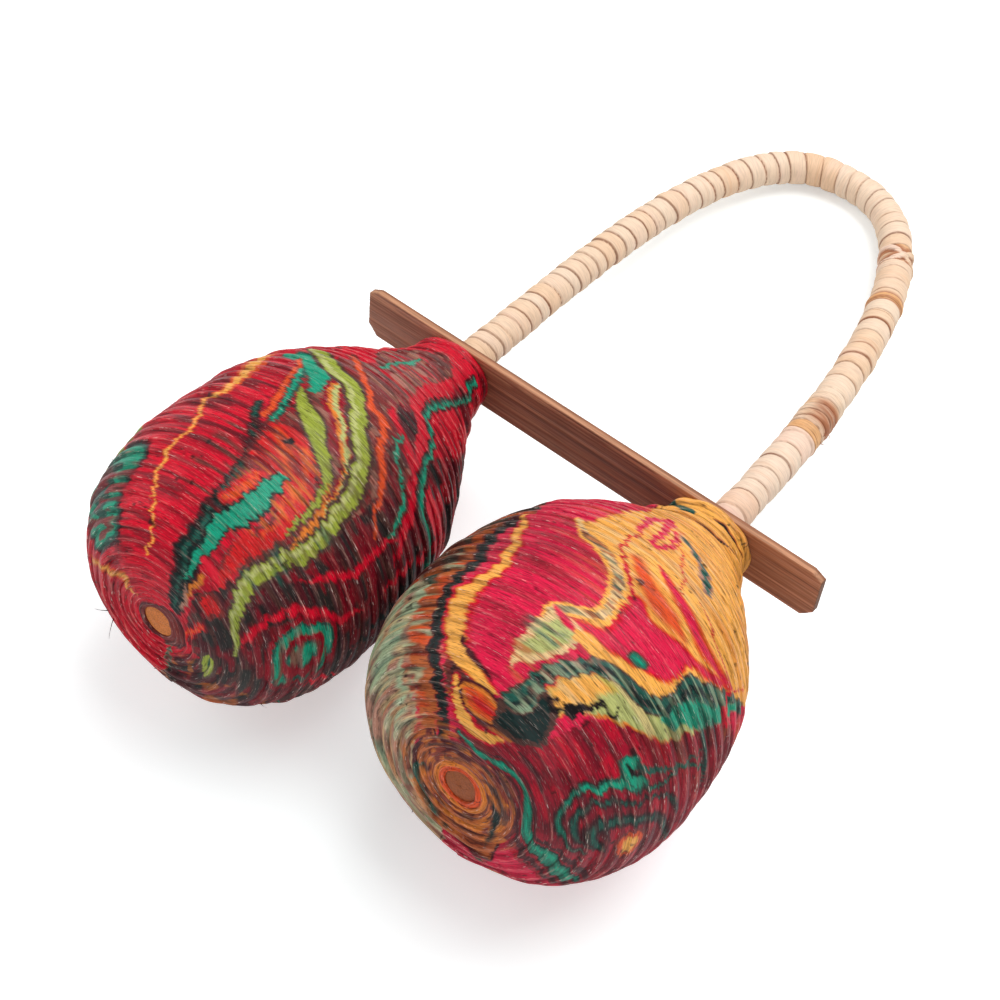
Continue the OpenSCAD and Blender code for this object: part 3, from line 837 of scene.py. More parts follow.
def marble_right(canvas):
    """The right shell: a golden neck over pink, a sage flank and a dark ribbon."""
    ribbon, drop, mud, fibres, near = canvas.ribbon, canvas.drop, canvas.mud, canvas.fibres, canvas.near
    wild_marbling(canvas, [PINK, CRIMSON, DEEP_RED, GOLD, TEAL, SEA, RUST], 9, 22)
    fibres(0.4, DEEP_RED, 11, 1.1, 40, 0.2)
    fibres(0.35, BRICK, 15, 0.7, 78, 0.15, near(-4, .43, 24, .16))
    # lower crimson
    mud(((-6, .05), (-8, .10), (12, .103), (24, .143), (32, .18), (34, .225), (35, .258), (40, .283),
        (46, .31), (54, .345), (60, .395), (70, .487), (96, .55), (124, .45), (130, .2), (112, .06),
        (60, .03)), srgb(152, 14, 40), (0.55, DEEP_RED), (0.45, CRIMSON), (0.5, MAROON), soft=0.5)
    # rust, umber and green specks on the upper left flank
    mud(((-34, .56), (-35, .47), (-31, .40), (-33, .34), (-44, .30), (-62, .34), (-84, .42), (-96, .56),
        (-60, .66)), srgb(96, 48, 40), (0.8, RUST), (0.85, NIGHT), (0.7, ORANGE), (0.5, SEA), soft=0.9)
    # sage and clay flank
    mud(((-43, .31), (-44, .253), (-42, .217), (-39, .182), (-40, .15), (-46, .118), (-60, .088),
        (-79, .062), (-120, .05), (-165, .07), (-172, .18), (-150, .28), (-108, .36), (-70, .35),
        (-54, .335)), CLAY, (0.45, CREAM), (0.6, SAGE), (0.35, SEA), soft=0.8)
    for stops, half in (
            (((-46, .315), (-52, .27), (-58, .235), (-66, .20), (-80, .185)), (1.5, 3.4, 3.8, 3.0, 1.2)),
            (((-56, .34), (-66, .29), (-80, .25), (-98, .23)), (1.6, 2.6, 2.6, 1.2)),
            (((-47, .19), (-50, .155), (-60, .125), (-76, .11)), (0.6, 1.4, 1.2, 0.6)),
            (((-100, .17), (-118, .14), (-138, .13)), (0.8, 1.7, 0.8))):
        ribbon(stops, half, SAGE, soft=1.6)
    fibres(0.55, SEA, 11, 1.3, 43, 0.3, near(-80, .19, 50, .14))
    fibres(0.5, CREAM, 13, 0.8, 44, 0.2, near(-80, .19, 60, .14))
    fibres(0.6, RUST, 12, 1.0, 54, 0.15, near(-110, .12, 60, .08))
    # rust band and dark band
    ribbon(((-44, .48), (-40, .44), (-38, .378), (-39, .333), (-41, .30), (-40, .26), (-38, .225),
        (-35, .193), (-32, .16), (-34, .12), (-40, .085)), (1.0, 1.6, 2.0, 2.6, 3.0, 3.1, 2.9, 2.6, 2.4,
        2.4, 2.2), (-1.1, 1.1, RUST), soft=1.0)
    fibres(0.85, ORANGE, 27, 0.9, 47, 0.0, near(-39, .25, 8, .2))
    fibres(0.65, MAROON, 31, 0.7, 45, 0.25, near(-39, .26, 8, .24))
    fibres(0.7, SAGE, 29, 0.8, 46, 0.3, near(-40, .24, 7, .16))
    ribbon(((-38, .50), (-36, .478), (-36, .443), (-32, .378), (-34, .34), (-34, .30), (-33, .265),
        (-31, .228), (-28, .195), (-25, .165), (-23, .133), (-25, .085), (-28, .055)), (1.6, 1.5, 1.4,
        1.3, 1.2, 1.3, 1.4, 1.3, 1.1, 1.0, 0.9, 0.6), (-1.25, 1.25, MAROON), (-0.8, 0.8, NIGHT),
        (-0.2, 0.35, BLACK))
    # yellow line down the left flank
    ribbon(((-34, .52), (-31, .487), (-25, .43), (-23, .395), (-23, .36), (-24, .333), (-26, .305),
        (-26, .275), (-24, .25), (-21, .225), (-16, .205), (-10, .198), (-2, .188), (5, .188)), (0.8, 0.9,
        1.0, 1.2, 1.6, 2.0, 2.4, 2.6, 2.4, 2.0, 1.6, 1.3, 1.2, 0.7), (-1.6, 1.35, CRIMSON),
        (-1.05, 1.05, AMBER), (-0.8, 0.85, GOLD))
    ribbon(((-20, .235), (-15, .218), (-8, .208), (0, .20)), (0.4, 0.6, 0.6, 0.3), MAROON)
    # flames between the yellow line and the dark pool
    mud(((-22, .20), (-10, .185), (6, .182), (12, .17), (12, .145), (24, .145), (14, .115), (0, .10),
        (-12, .115), (-20, .15)), BRICK, (0.7, MAROON), (0.6, AMBER), (0.5, UMBER), soft=0.5)
    ribbon(((-15, .175), (-14, .148), (-10, .125), (-5, .112), (2, .106), (12, .114), (20, .13)),
        (0.7, 1.2, 1.5, 1.4, 1.1, 1.0, 0.4), (-1.9, 1.6, CRIMSON), GOLD)
    drop(((-11, .165), (-5, .175), (5, .176), (12, .165), (10, .143), (0, .136), (-7, .148)),
        (-1.3, MAROON), (-0.5, AMBER), (0.5, ORANGE), (1.7, SCARLET), soft=0.4)
    # golden neck and upper right
    drop(((-64, 1.05), (-40, .88), (-24, .80), (-12, .738), (-11, .638), (-12, .565), (-15, .53),
        (-8, .502), (-1, .495), (6, .475), (11, .445), (13, .41), (12, .375), (13, .335), (20, .325),
        (27, .34), (33, .35), (39, .36), (45, .38), (48, .41), (50, .445), (57, .48), (66, .52),
        (78, .575), (100, .66), (130, .80), (140, 1.05)), (-0.4, AMBER), (0.3, GOLD))
    fibres(0.35, AMBER, 9, 1.2, 48, 0.1, near(40, .7, 70, .35))
    fibres(0.5, CREAM, 12, 0.9, 49, 0.1, near(14, .62, 30, .14))
    fibres(0.35, RUST, 10, 0.7, 55, 0.3, near(40, .75, 60, .3))
    # crimson tongues in the gold
    ribbon(((10, .53), (15, .508), (23, .49), (31, .485), (38, .48)), (1.2, 2.2, 2.6, 2.2, 0.8), ORANGE,
        soft=1.8)
    drop(((8, .333), (12, .352), (17, .37), (18.5, .40), (18, .435), (16, .463), (20, .467), (25, .452),
        (32, .456), (39, .47), (46, .482), (53, .497), (60, .523), (61, .518), (53, .482), (47, .470),
        (45, .445), (42, .408), (36, .387), (28, .366), (22, .352), (15, .343)), (-0.5, ORANGE),
        (0.1, CRIMSON), (0.5, PINK), soft=0.4)
    ribbon(((16, .55), (20, .542), (29, .527), (39, .515), (49, .512), (59, .522)),
        (0.3, 0.7, 1.1, 1.4, 1.3, 0.5), (-1.5, 1.5, ORANGE), (-0.9, 0.9, PINK), soft=0.5)
    ribbon(((2, .60), (2, .555), (6, .512), (12, .482), (16, .455), (18, .417), (18, .375)),
        (0.4, 0.5, 0.6, 0.6, 0.7, 0.8), CRIMSON)
    # curl round the crimson pool
    curl = ((-17, .545), (-9, .515), (-2, .507), (4, .489), (9, .468), (12.5, .438), (14, .41),
        (13, .385), (9, .365), (5, .348), (3, .328), (3, .30))
    ribbon(curl, (0.8, 1.6, 2.0, 2.1, 2.1, 2.1, 2.1, 1.9, 1.8, 1.9, 2.2, 1.8), (-1.05, 1.1, GOLD))
    speckled = ribbon(curl, (0.5, 0.9, 1.2, 1.3, 1.3, 1.2, 1.1, 1.0, 1.0, 1.2, 1.6, 1.4), CREAM)
    fibres(0.85, RUST, 44, 0.55, 50, -0.1, speckled)
    fibres(0.7, UMBER, 41, 0.6, 69, 0.15, speckled)
    fibres(0.7, SEA, 33, 0.7, 56, 0.25, speckled)
    drop(((0, .285), (0, .315), (5, .342), (12, .342), (15.5, .333), (14.5, .297), (11, .262), (6, .245),
        (4, .232), (1, .258)), CREAM, (1.6, PALE_GREEN), soft=0.6)
    fibres(0.75, RUST, 24, 0.75, 57, 0.05, near(7, .27, 8, .05))
    fibres(0.75, SEA, 22, 0.9, 51, 0.25, near(4, .305, 8, .03))
    ribbon(((3, .345), (8, .336), (13, .332)), (0.5, 1.1, 0.4), PINK, soft=0.5)
    # gold under the tongues
    ribbon(((14, .328), (18, .335), (25, .338), (32, .352), (39, .372), (45, .395), (48, .435)),
        (1.2, 1.6, 1.6, 1.4, 1.2, 1.4, 1.2), GOLD, soft=0.4)
    # the pale middle band
    pale = ribbon(((22, .222), (25, .252), (28, .278), (33, .300), (41, .318), (46, .333), (53, .352),
        (57, .383), (61, .427), (68, .48)), (2.2, 3.4, 4.2, 4.4, 3.8, 3.2, 2.8, 2.2, 1.4, 0.6), AMBER,
        (-0.85, 0.85, PALE_GREEN), soft=0.4)
    drop(((22, .218), (20, .25), (23, .29), (28, .312), (33, .315), (31, .28), (29, .25), (26, .228)),
        GOLD, soft=1.8)
    fibres(0.45, LIME, 14, 0.9, 58, 0.1, pale * near(42, .31, 18, .05))
    fibres(0.5, CREAM, 16, 0.8, 70, 0.1, pale)
    # dark teal pool and the ribbon leading out of it
    drop(((12, .173), (11, .20), (13, .222), (19, .227), (23, .223), (28, .205), (31, .18), (26, .158),
        (17, .148), (10.5, .15)), (-1.2, UMBER), NIGHT)
    lead = ribbon(((14, .20), (15, .22), (15, .245), (17, .268), (20, .288), (23, .315), (27, .33),
        (33, .34), (39, .348), (46, .37), (49, .40), (50, .435), (57, .47), (66, .512), (78, .568)), (2.6,
        2.2, 1.8, 1.5, 1.5, 1.5, 1.7, 1.7, 1.8, 2.1, 2.4, 2.4, 2.2, 2.0, 1.2), (-1.15, 1.15, UMBER),
        (-0.9, 0.9, SEA), (-0.25, 0.5, NIGHT))
    fibres(0.75, CLAY, 24, 0.6, 59, 0.0, lead * near(22, .30, 18, .08))
    fibres(0.5, SAGE, 27, 0.7, 71, 0.1, lead)
    ribbon(((50, .36), (52, .375), (54, .402), (59, .432), (66, .475), (73, .54)),
        (0.6, 2.0, 2.6, 2.5, 2.0, 1.0), TEAL, soft=0.6)
    fibres(0.6, NIGHT, 22, 0.8, 52, 0.2, near(58, .42, 14, .08))
    drop(((28, .374), (29.5, .390), (34, .393), (33, .377)), (-0.3, UMBER), (0.2, DIM_TEAL), (0.9, TEAL))
    # ink blots on the pale band
    ribbon(((22.5, .24), (21.5, .229), (23.5, .223), (26, .231), (25, .242)), (0.35, 0.45, 0.35), BLACK)
    drop(((25.5, .238), (26.5, .252), (29.5, .254), (31, .243), (28.5, .232)), BLACK)
    ribbon(((29, .248), (31, .262), (32, .276), (34, .288)), (1.2, 0.7, 0.5), BLACK)
    ribbon(((35, .288), (37.5, .284), (39.5, .292), (39, .306)), (0.25, 0.35, 0.2), BLACK)
    # hairpin loops round an orange eye, low on the right
    for stops, half, heart in (
            (((78, .42), (74, .395), (70, .365), (68, .30), (60, .24), (58.5, .198), (63, .165),
              (75, .147), (87, .158), (94, .19)),
             (0.3, 0.4, 0.5, 0.7, 0.8, 0.8, 0.8, 0.7, 0.6, 0.4), DIM_TEAL),
            (((88, .36), (76, .333), (69, .247), (66, .205), (73, .173), (84, .173), (90, .20)),
             (0.4, 0.6, 0.7, 0.8, 0.8, 0.7, 0.4), SEA),
            (((100, .35), (85, .318), (77, .242), (78, .203), (84, .195), (90, .217)),
             (0.6, 1.0, 1.4, 1.6, 1.4, 0.7), SEA)):
        ribbon(stops, half, (-1.6, 1.5, MAROON), NIGHT, (-0.7, 0.6, heart), soft=0.4)
    fibres(0.6, NIGHT, 20, 0.8, 66, 0.1, near(80, .235, 9, .07))
    fibres(0.5, MAROON, 16, 0.9, 75, 0.05, near(78, .30, 26, .2))
    drop(((88, .242), (85, .258), (86, .278), (91, .287), (97, .272), (96, .25)), (-0.8, BRICK), ORANGE,
        (1.3, GOLD), soft=0.5)
    ribbon(((59, .20), (60, .22), (61, .245), (63, .27), (62, .29)), (0.8, 1.1, 1.4, 1.7, 0.8), SEA,
        (-0.4, 0.7, TEAL))
    drop(((53, .268), (55, .293), (58, .29), (59, .272), (64, .297), (66.5, .287), (61, .262),
        (57, .262)), (-0.4, SEA), (0.2, TEAL))
    ribbon(((55, .272), (59, .277), (62, .292)), (0.3, 0.6, 0.3), BLACK)
    ribbon(((59, .292), (64, .325), (70, .372), (71, .417)), (0.9, 0.6, 0.5, 0.4), SEA)
    ribbon(((64, .43), (72, .425), (84, .42)), (0.8, 0.7, 0.5), NIGHT, (-0.5, 0.5, SEA))
    ribbon(((66, .465), (76, .462), (88, .46)), (0.7, 0.6, 0.4), NIGHT)
    # rust round the plug, with the teal ribbon curling away from it
    rust = ((-180, .105), (-150, .075), (-100, .055), (-60, .062), (-42, .08), (-29, .055), (-3, .05),
        (23, .05), (49, .065), (70, .075), (104, .075), (130, .075), (152, .115))
    canvas.collar(rust, (-1.0, MAROON), (0.0, RUST))
    by_plug = 1 - smooth(.07, .11, canvas.w / canvas.shell.full)
    fibres(0.85, BRICK, 24, 0.8, 53, 0.0, by_plug)
    fibres(0.7, AMBER, 20, 0.9, 54, 0.15, by_plug)
    fibres(0.8, UMBER, 17, 0.7, 65, 0.2, by_plug)
    for stops, dye in (
            (((40, .028), (58, .045), (84, .052), (110, .045)), UMBER),
            (((70, .03), (92, .04), (128, .06), (150, .085)), NIGHT),
            (((-40, .03), (-20, .048), (0, .04), (18, .05)), MAROON),
            (((-90, .04), (-110, .06), (-150, .07), (-176, .09)), SEA),
            (((120, .035), (150, .05), (176, .055), (-170, .08)), AMBER)):
        ribbon(stops, (0.3, 1.0, 0.8, 0.3), dye, soft=0.9)
    canvas.collar(((-180, .021), (0, .019), (90, .022)), (-0.35, BRICK), (0.0, AMBER), (1.3, ORANGE),
        soft=0.4)
    ribbon(((-12, .088), (-7, .082), (7, .07), (22, .08), (32, .098), (42, .107), (54, .107), (69, .10),
        (91, .098), (104, .122), (110, .158), (119, .203)), (0.4, 0.5, 0.7, 0.8, 0.8, 0.8, 0.8, 0.9, 1.2,
        1.8, 2.3, 2.0), (-2.4, 2.6, MAROON), (-1.5, 1.7, DEEP_RED), (-1.2, 1.15, NIGHT),
        (-0.9, 0.9, DIM_TEAL), (-0.5, 0.1, TEAL))
    ribbon(((30, .14), (44, .143), (53, .138)), (0.4, 0.8, 0.4), MAROON, soft=0.4)
    # neck squiggles
    ribbon(((-1, .763), (-1, .71), (-1, .665), (0, .605)), (1.0, 1.1, 1.1, 0.8), PINK)
    ribbon(((-1, .763), (4, .71), (7, .665), (7, .595)), (0.8, 1.0, 1.0, 0.8), PINK)
    ribbon(((7, .595), (11, .598), (13, .655), (9, .70)), (0.8, 0.9, 0.8, 0.4), PINK)
    ribbon(((9, .723), (14, .67), (19, .623), (24, .58), (26, .545)), (0.3, 0.4, 0.3), CRIMSON)
    ribbon(((12, .698), (21, .68), (29, .638), (34, .608)), (0.6, 1.0, 1.5, 1.0), (-1.3, 1.3, CLAY),
        (-0.7, 0.7, SEA))
    ribbon(((34, .565), (45, .545), (58, .532), (64, .532), (73, .588)), (0.3, 0.4, 0.5, 0.4), CRIMSON)
    ribbon(((62, .53), (68, .50), (76, .50)), (0.4, 0.9, 0.5), CRIMSON)
    ribbon(((-56, .945), (-27, .925), (-16, .915), (-6, .905)), (1.0, 1.3, 1.4, 0.5), SEA)
    ribbon(((-7, .863), (15, .875), (38, .883), (71, .92)), (0.3, 0.45, 0.45, 0.2), (-2, 0, RUST), BLACK)
    ribbon(((8, .93), (23, .935), (45, .932), (69, .94)), (0.2, 0.5, 0.45, 0.2), (-2, 0, RUST), BLACK)


WHISKER_THICK = 0.16
STRAND_THICK = 0.2
MARBLE = {"left": (marble_left, CRIMSON), "right": (marble_right, PINK)}


def whisker(shell, phi, t, reach_mm, swing, curl):
    """A loose fibre rooted in the shell's wall."""
    w = t * shell.full
    r, s, nr, ns = (float(part) for part in shell.profile(np.array(w)))
    ex, ey, ez = shell.axes
    spoke = sind(phi) * ex + cosd(phi) * ey
    out = nr * spoke + ns * ez
    around = np.cross(ez, spoke)
    return hair(shell.home + s * ez + r * spoke, out, around, reach_mm, swing, curl, WHISKER_THICK)


def hair(root, out, around, reach_mm, swing, curl, thick):
    """A thin four-sided closed tube that starts a little inside its root, as points and quads."""
    down = np.cross(out, around)
    u = np.linspace(-0.25, 1, 14)[:, None]
    bend = swing * u ** 2
    line = root + reach_mm * (u * out * 0.8 + bend * around + curl * np.sin(3.2 * np.clip(u, 0, 1)) * down)
    half = thick * (1 - 0.6 * np.clip(u, 0, 1))
    corners = [half * (a * around + b * down) for a, b in ((1, 0), (0, 1), (-1, 0), (0, -1))]
    points = np.stack([line + corner for corner in corners], 1).reshape(-1, 3)
    return points, tube_faces(len(u), 4)


def add_threads(threads, dye, stretch, points, faces, paint, fibre):
    """A piece's points, faces, paint and fibre with those of its loose fibres added."""
    for thread, quads in threads:
        faces = np.concatenate([faces, quads + len(points)])
        points = np.concatenate([points, thread])
        paint = np.concatenate([paint, np.tile(dye, (len(thread), 1))])
        fibre = np.concatenate([fibre, thread / stretch])
    return points, faces, paint, fibre


# (angle, share of the profile, reach, swing, curl) of each loose fibre
WHISKERS = {
    ("left", "lower_coil"): (
        (-128, .125, 5.0, 0.8, 0.3), (-124, .13, 4.0, -0.6, -0.2), (170, .13, 1.7, 0.5, 0.9),
        (-170, .14, 1.5, -0.7, 0.6), (128, .20, 2.5, 0.6, 0.3), (-66, .30, 2.0, 0.9, 0.2)),
    ("left", "upper_coil"): (
        (-62, .46, 3.4, 1.4, 0.3), (-60, .50, 2.6, 1.2, -0.2), (95, .60, 1.4, 0.5, 0.3)),
    ("right", "lower_coil"): ((96, .33, 1.6, 0.5, 0.3), (-150, .16, 1.6, 0.4, 0.5)),
    ("right", "upper_coil"): ((88, .52, 1.6, 0.6, 0.3), (84, .48, 1.2, -0.5, 0.3)),
}


INNER_ROWS = 10
BORE_START = 4.0  # the neck bore's second ring, clear of the crossbar's tilted face


def shell_piece(shell, name, w0, w1, columns, row_step):
    """A closed band of the shell between two places on its profile, with its inner face below it."""
    rows = max(8, int((w1 - w0) / row_step))
    w_rows = np.linspace(w0, w1, rows)
    phi_columns = np.linspace(-180, 180, columns + 1)[:-1]
    w, phi = grid(w_rows, phi_columns)
    r, s, nr, ns = shell.profile(w)
    height, valley, crest = shell.relief(phi, w)
    outer = shell.place(r + height * nr, s + height * ns, phi)
    outer[:, 2] = np.maximum(outer[:, 2], TABLE_CLEAR)  # nothing presses into the table
    marble, ground = MARBLE[shell.side]
    canvas = Canvas(shell, phi, w, ground)
    marble(canvas)
    lap = phi / 360 + 0.5
    speck = noise(lap, w / 0.6, 160, shell.seed + 70) + noise(lap, w / 2.3, 40, shell.seed + 71)
    canvas.lay(smooth(1.25, 1.5, speck) * 0.8, BLACK)
    age = 1 + 0.12 * noise(lap, w / 9, 11, shell.seed + 72)
    paint = canvas.rgb * age[:, None]
    back_rows = np.linspace(w1, w0, INNER_ROWS)
    wi, pi = grid(back_rows, phi_columns)
    r2, s2, nr2, ns2 = shell.profile(wi)
    if name == "neck_leaf":
        # the leaf is wound right down to the cane: its inner face is the cane's own bore
        r2 = np.full(len(wi), CANE_R + GAP)
        s2 = np.concatenate([[0.0], np.linspace(BORE_START, s2[-1], INNER_ROWS - 1)])
        s2 = np.repeat(s2, columns)
    else:
        r2 = np.maximum(r2 - WALL * nr2, CANE_R + GAP)
        s2 = s2 - WALL * ns2
    inner = shell.place(r2, s2, pi)
    points = np.concatenate([outer, inner])
    if name == "neck_leaf":
        # cut off flush against the crossbar's front
        front = BAR_HOME - HALF_BAR * BAR_BACK
        over = (points - front) @ BAR_BACK
        ez = shell.axes[2]
        points = points - np.maximum(over, 0)[:, None] / (ez @ BAR_BACK) * ez
    paint = np.concatenate([paint, np.tile(LEAF_BACK, (len(inner), 1))])
    all_phi = np.concatenate([phi, pi])
    all_r = np.concatenate([r, r2])
    fibre = np.stack([all_r * sind(all_phi) / 5.5, all_r * cosd(all_phi) / 5.5,
                      np.concatenate([w, wi]) / 0.36], 1)
    faces = ring_faces(rows + INNER_ROWS, columns, closed=True)
    threads = [whisker(shell, *spec) for spec in WHISKERS.get((shell.side, name), ())]
    points, faces, paint, fibre = add_threads(threads, MAROON * 0.6, 3, points, faces, paint, fibre)
    pad = np.zeros(len(points) - len(valley))
    cap = np.zeros(len(faces), bool)
    for last in (rows, rows + INNER_ROWS):
        cap[(last - 1) * columns:last * columns] = True
    full_name = f"{shell.side}_{name}"
    return make_piece(full_name, points, faces, LEAF[shell.side], [full_name],
                      f"marbled_leaf_{shell.side}", flat=cap, paint=paint, fibre=fibre,
                      valley=np.concatenate([valley, pad]), crest=np.concatenate([crest, pad]))


def build_shell(side, seed):
    shell = Shell(side, seed)
    ring, belly, neck = shell.w_ring, shell.w_belly, shell.w_neck
    fine = 0.33
    columns = 440
    shell_piece(shell, "tip_ring", 0.0, ring, columns // 2, fine * 0.8)
    shell_piece(shell, "lower_coil", ring, belly, columns, fine)
    shell_piece(shell, "upper_coil", belly, neck, columns, fine)
    shell_piece(shell, "neck_leaf", neck, shell.full, columns * 3 // 4, fine * 0.8)


# ---- the cane and its wrapped loop ----
def in_plane(x, y):
    x, y = np.broadcast_arrays(np.asarray(x, float), np.asarray(y, float))
    flat = np.stack([x, y * cosd(LOOP_TILT), HOLE_HEIGHT - y * sind(LOOP_TILT)], -1)
    return flat - CENTRE


def loop_line(f):
    lift = np.maximum(sind(f), 0) ** (2 / 3)
    c = cosd(f)
    x = -LEG_SPACING / 2 * np.sign(c) * np.abs(c) ** (2 / 2.4) + LOOP_DRIFT * lift ** 1.3
    return in_plane(x, LOOP_LENGTH * lift)


def arc_lengths(points):
    return np.concatenate([[0.0], np.cumsum(np.linalg.norm(np.diff(points, axis=0), axis=1))])


def resample(points, at):
    s = arc_lengths(points)
    return np.stack([np.interp(at, s, points[:, k]) for k in range(3)], 1)


def rings_round(line, radius, sides, up):
    """Rings of points round a line; radius is a number or one value per point of every ring."""
    ahead = np.gradient(line, axis=0)
    ahead /= np.linalg.norm(ahead, axis=1)[:, None]
    across = np.cross(ahead, up)
    across /= np.linalg.norm(across, axis=1)[:, None]
    over = np.cross(across, ahead)
    angle = round_angles(sides)
    radius = np.broadcast_to(radius, (len(line), sides))
    spokes = np.cos(angle)[None, :, None] * across[:, None] + np.sin(angle)[None, :, None] * over[:, None]
    return (line[:, None] + radius[..., None] * spokes).reshape(-1, 3)


STATIONS = 60
LOOP_F = np.linspace(0, 180, 2401)
LOOP = loop_line(LOOP_F)
LOOP_S = arc_lengths(LOOP)
LOOP_FULL = LOOP_S[-1]


def station_s(k):
    return float(np.interp(180 * k / STATIONS, LOOP_F, LOOP_S))


PEEL_CREAM = srgb(235, 211, 187)
PEEL_TAN = srgb(232, 200, 170)
PEEL_PINK = srgb(238, 206, 184)
PEEL_ORANGE = srgb(224, 170, 118)
PEEL_BROWN = srgb(172, 106, 70)


class Wrap:
    """The peel's turns along the whole handle: where each begins, how it sits and its colour."""

    def __init__(self, seed):
        rng = np.random.default_rng(seed)
        stations = [station_s(j) for j in range(STATIONS + 1)]
        # (station where it ends, usual width in millimetres) of each run of turns
        widths = ((9, 4.6), (22, 4.9), (42, 5.2), (44, 3.6), (49, 4.6), (55, 5.2), (57, 2.4), (61, 5.4))
        edge = 0.0
        edges = [0.0]
        while edge < LOOP_FULL:
            k = np.interp(edge, stations, np.arange(STATIONS + 1))
            usual = next(width for end, width in widths if k < end)
            edge += usual * rng.uniform(0.8, 1.22)
            edges.append(edge)
        self.edges = np.array(edges)
        count = len(edges) + 3
        self.lift = rng.uniform(-0.12, 0.12, count)
        self.tilt = rng.uniform(-0.25, 0.1, count)
        rng.random(count)  # drawn and not used, here and below, so that the other draws keep their values
        self.dark = rng.uniform(0.0, 1.0, count)
        rng.random(count)
        self.shade = rng.uniform(-1, 1, count)

    def turn(self, s, angle):
        """Turn index and place across it, at distance s and angle round the handle."""
        lap = angle / (2 * np.pi)
        moved = s + 0.8 * np.sin(angle - 0.6) + 0.22 * noise(lap, s / 5, 5, 3)
        moved = moved + 0.1 * noise(lap, s / 2, 17, 4)
        index = np.clip(np.searchsorted(self.edges, moved, side="right") - 1, 0, len(self.edges) - 2)
        lo = self.edges[index]
        hi = self.edges[index + 1]
        return index, np.clip((moved - lo) / (hi - lo), 0, 1), hi - lo


def peel_piece(wrap, name, k0, k1, look, slot, base, extra=0.0, adorn=None, hairs=()):
    """The turns of peel between two stations of the handle, as a closed sleeve round the cane."""
    s0 = max(station_s(k0), HALF_BAR + PEEL_CLEAR)
    s1 = min(station_s(k1), LOOP_FULL - HALF_BAR - PEEL_CLEAR)
    step, sides = ((0.26, 72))
    s = np.linspace(s0, s1, max(6, int((s1 - s0) / step)))
    ss, aa = np.meshgrid(s, round_angles(sides), indexing="ij")
    index, p, wide = wrap.turn(ss, aa)
    lap = aa / (2 * np.pi)
    from_edge = np.minimum(p, 1 - p) * wide
    sink = np.sqrt(np.clip(1 - (1 - np.clip(from_edge / 0.32, 0, 1)) ** 2, 0, 1))
    crown = (1 - np.abs(2 * p - 1) ** 2.6) ** 0.6
    radius = WRAP_R - 0.5 + extra + wrap.lift[index] + 0.42 * crown + wrap.tilt[index] * (p - 0.5) * 1.6
    radius = radius - 0.5 * (1 - sink)
    radius = radius + 0.04 * noise(lap, ss / 0.5, 12, 8) + 0.08 * noise(lap, ss / 3, 6, 9)
    tone = wrap.shade[index]
    paint = tint(base, PEEL_CREAM, np.clip(tone + 0.45, 0, 1) * 0.75)
    paint = tint(paint, PEEL_ORANGE, np.clip(-tone - 0.5, 0, 1) * 0.5)
    paint = tint(paint, PEEL_PINK, np.clip(noise(lap, ss / 2.2, 4, 10), 0, 1) * 0.5)
    shadow = (wrap.dark[index] > 0.6) * smooth(0.84, 0.97, p)
    shadow = shadow * smooth(-0.2, 0.5, noise(lap, ss / 30, 3, 12))
    paint = tint(paint, PEEL_BROWN, shadow * 0.8)
    # painted shade along the gaps between turns, patchy from turn to turn
    broken = smooth(-0.9, 0.1, noise(lap, index * 0.9, 4, 13) + wrap.dark[index] - 0.4)
    valley = (1 - smooth(0.1, 0.46, from_edge)) * (0.4 + 0.6 * wrap.dark[index]) * broken
    if adorn is not None:
        radius, paint, valley = adorn(ss, aa, radius, paint, valley, (s0, s1))
    line = resample(LOOP, s)
    outer = rings_round(line, radius, sides, BAR_UP)
    back = rings_round(line[::-1], CANE_R + GAP, sides, BAR_UP).reshape(len(s), sides, 3)
    back = np.roll(back[:, ::-1], 1 + sides // 2, axis=1).reshape(-1, 3)
    points = np.concatenate([outer, back])
    fibre = np.stack([np.cos(aa) * 1.1, np.sin(aa) * 1.1, ss / 0.3], -1).reshape(-1, 3)
    faces = ring_faces(len(s) * 2, sides, closed=True)[:, ::-1]
    cap = np.zeros(len(faces), bool)
    cap[(len(s) - 1) * sides:len(s) * sides] = True
    cap[-sides:] = True
    paint = np.concatenate([paint.reshape(-1, 3), np.tile(PEEL_TAN, (len(back), 1))])
    fibre = np.concatenate([fibre, fibre])
    threads = []
    for share, spoke, reach_mm, swing, curl in hairs:
        row = int(share * len(s))
        root = outer.reshape(len(s), sides, 3)[row, int(spoke / 360 * sides)]
        centre = line[row]
        out = (root - centre) / np.linalg.norm(root - centre)
        ahead = line[row + 1] - centre
        around = np.cross(out, ahead / np.linalg.norm(ahead))
        threads.append(hair(root, out, around, reach_mm, swing, curl, STRAND_THICK))
    points, faces, paint, fibre = add_threads(threads, PEEL_BROWN, 2, points, faces, paint, fibre)
    cap = np.concatenate([cap, np.zeros(len(faces) - len(cap), bool)])
    valley = np.concatenate([valley.ravel(), np.zeros(len(points) - valley.size)])
    return make_piece(name, points, faces, look, [name], slot, flat=cap, paint=paint, fibre=fibre,
                      valley=valley)


def crossed_ends(ss, aa, radius, paint, valley, span):
    """Two tail ends of the peel crossing over the knot, brown in the corners they leave."""
    long = span[1] - span[0]
    x = (ss - span[0]) / long
    swing = np.sin(aa - 1.9)
    corners = np.zeros_like(ss)
    cover = np.zeros_like(ss)
    for slope in (0.46, -0.46):
        off = np.abs(x - 0.56 - slope * swing) * long
        cover = np.maximum(cover, 1 - smooth(0.9, 1.2, off))
        corners = np.maximum(corners, smooth(0.8, 1.1, off) * (1 - smooth(1.8, 3.4, off)))
    paint = tint(paint, PEEL_BROWN, corners * 0.9)
    paint = tint(paint, tint(PEEL_PINK, PEEL_TAN, smooth(-0.4, 0.4, swing)), cover)
    return radius + 0.35 * cover - 0.25 * corners, paint, valley * (1 - cover)


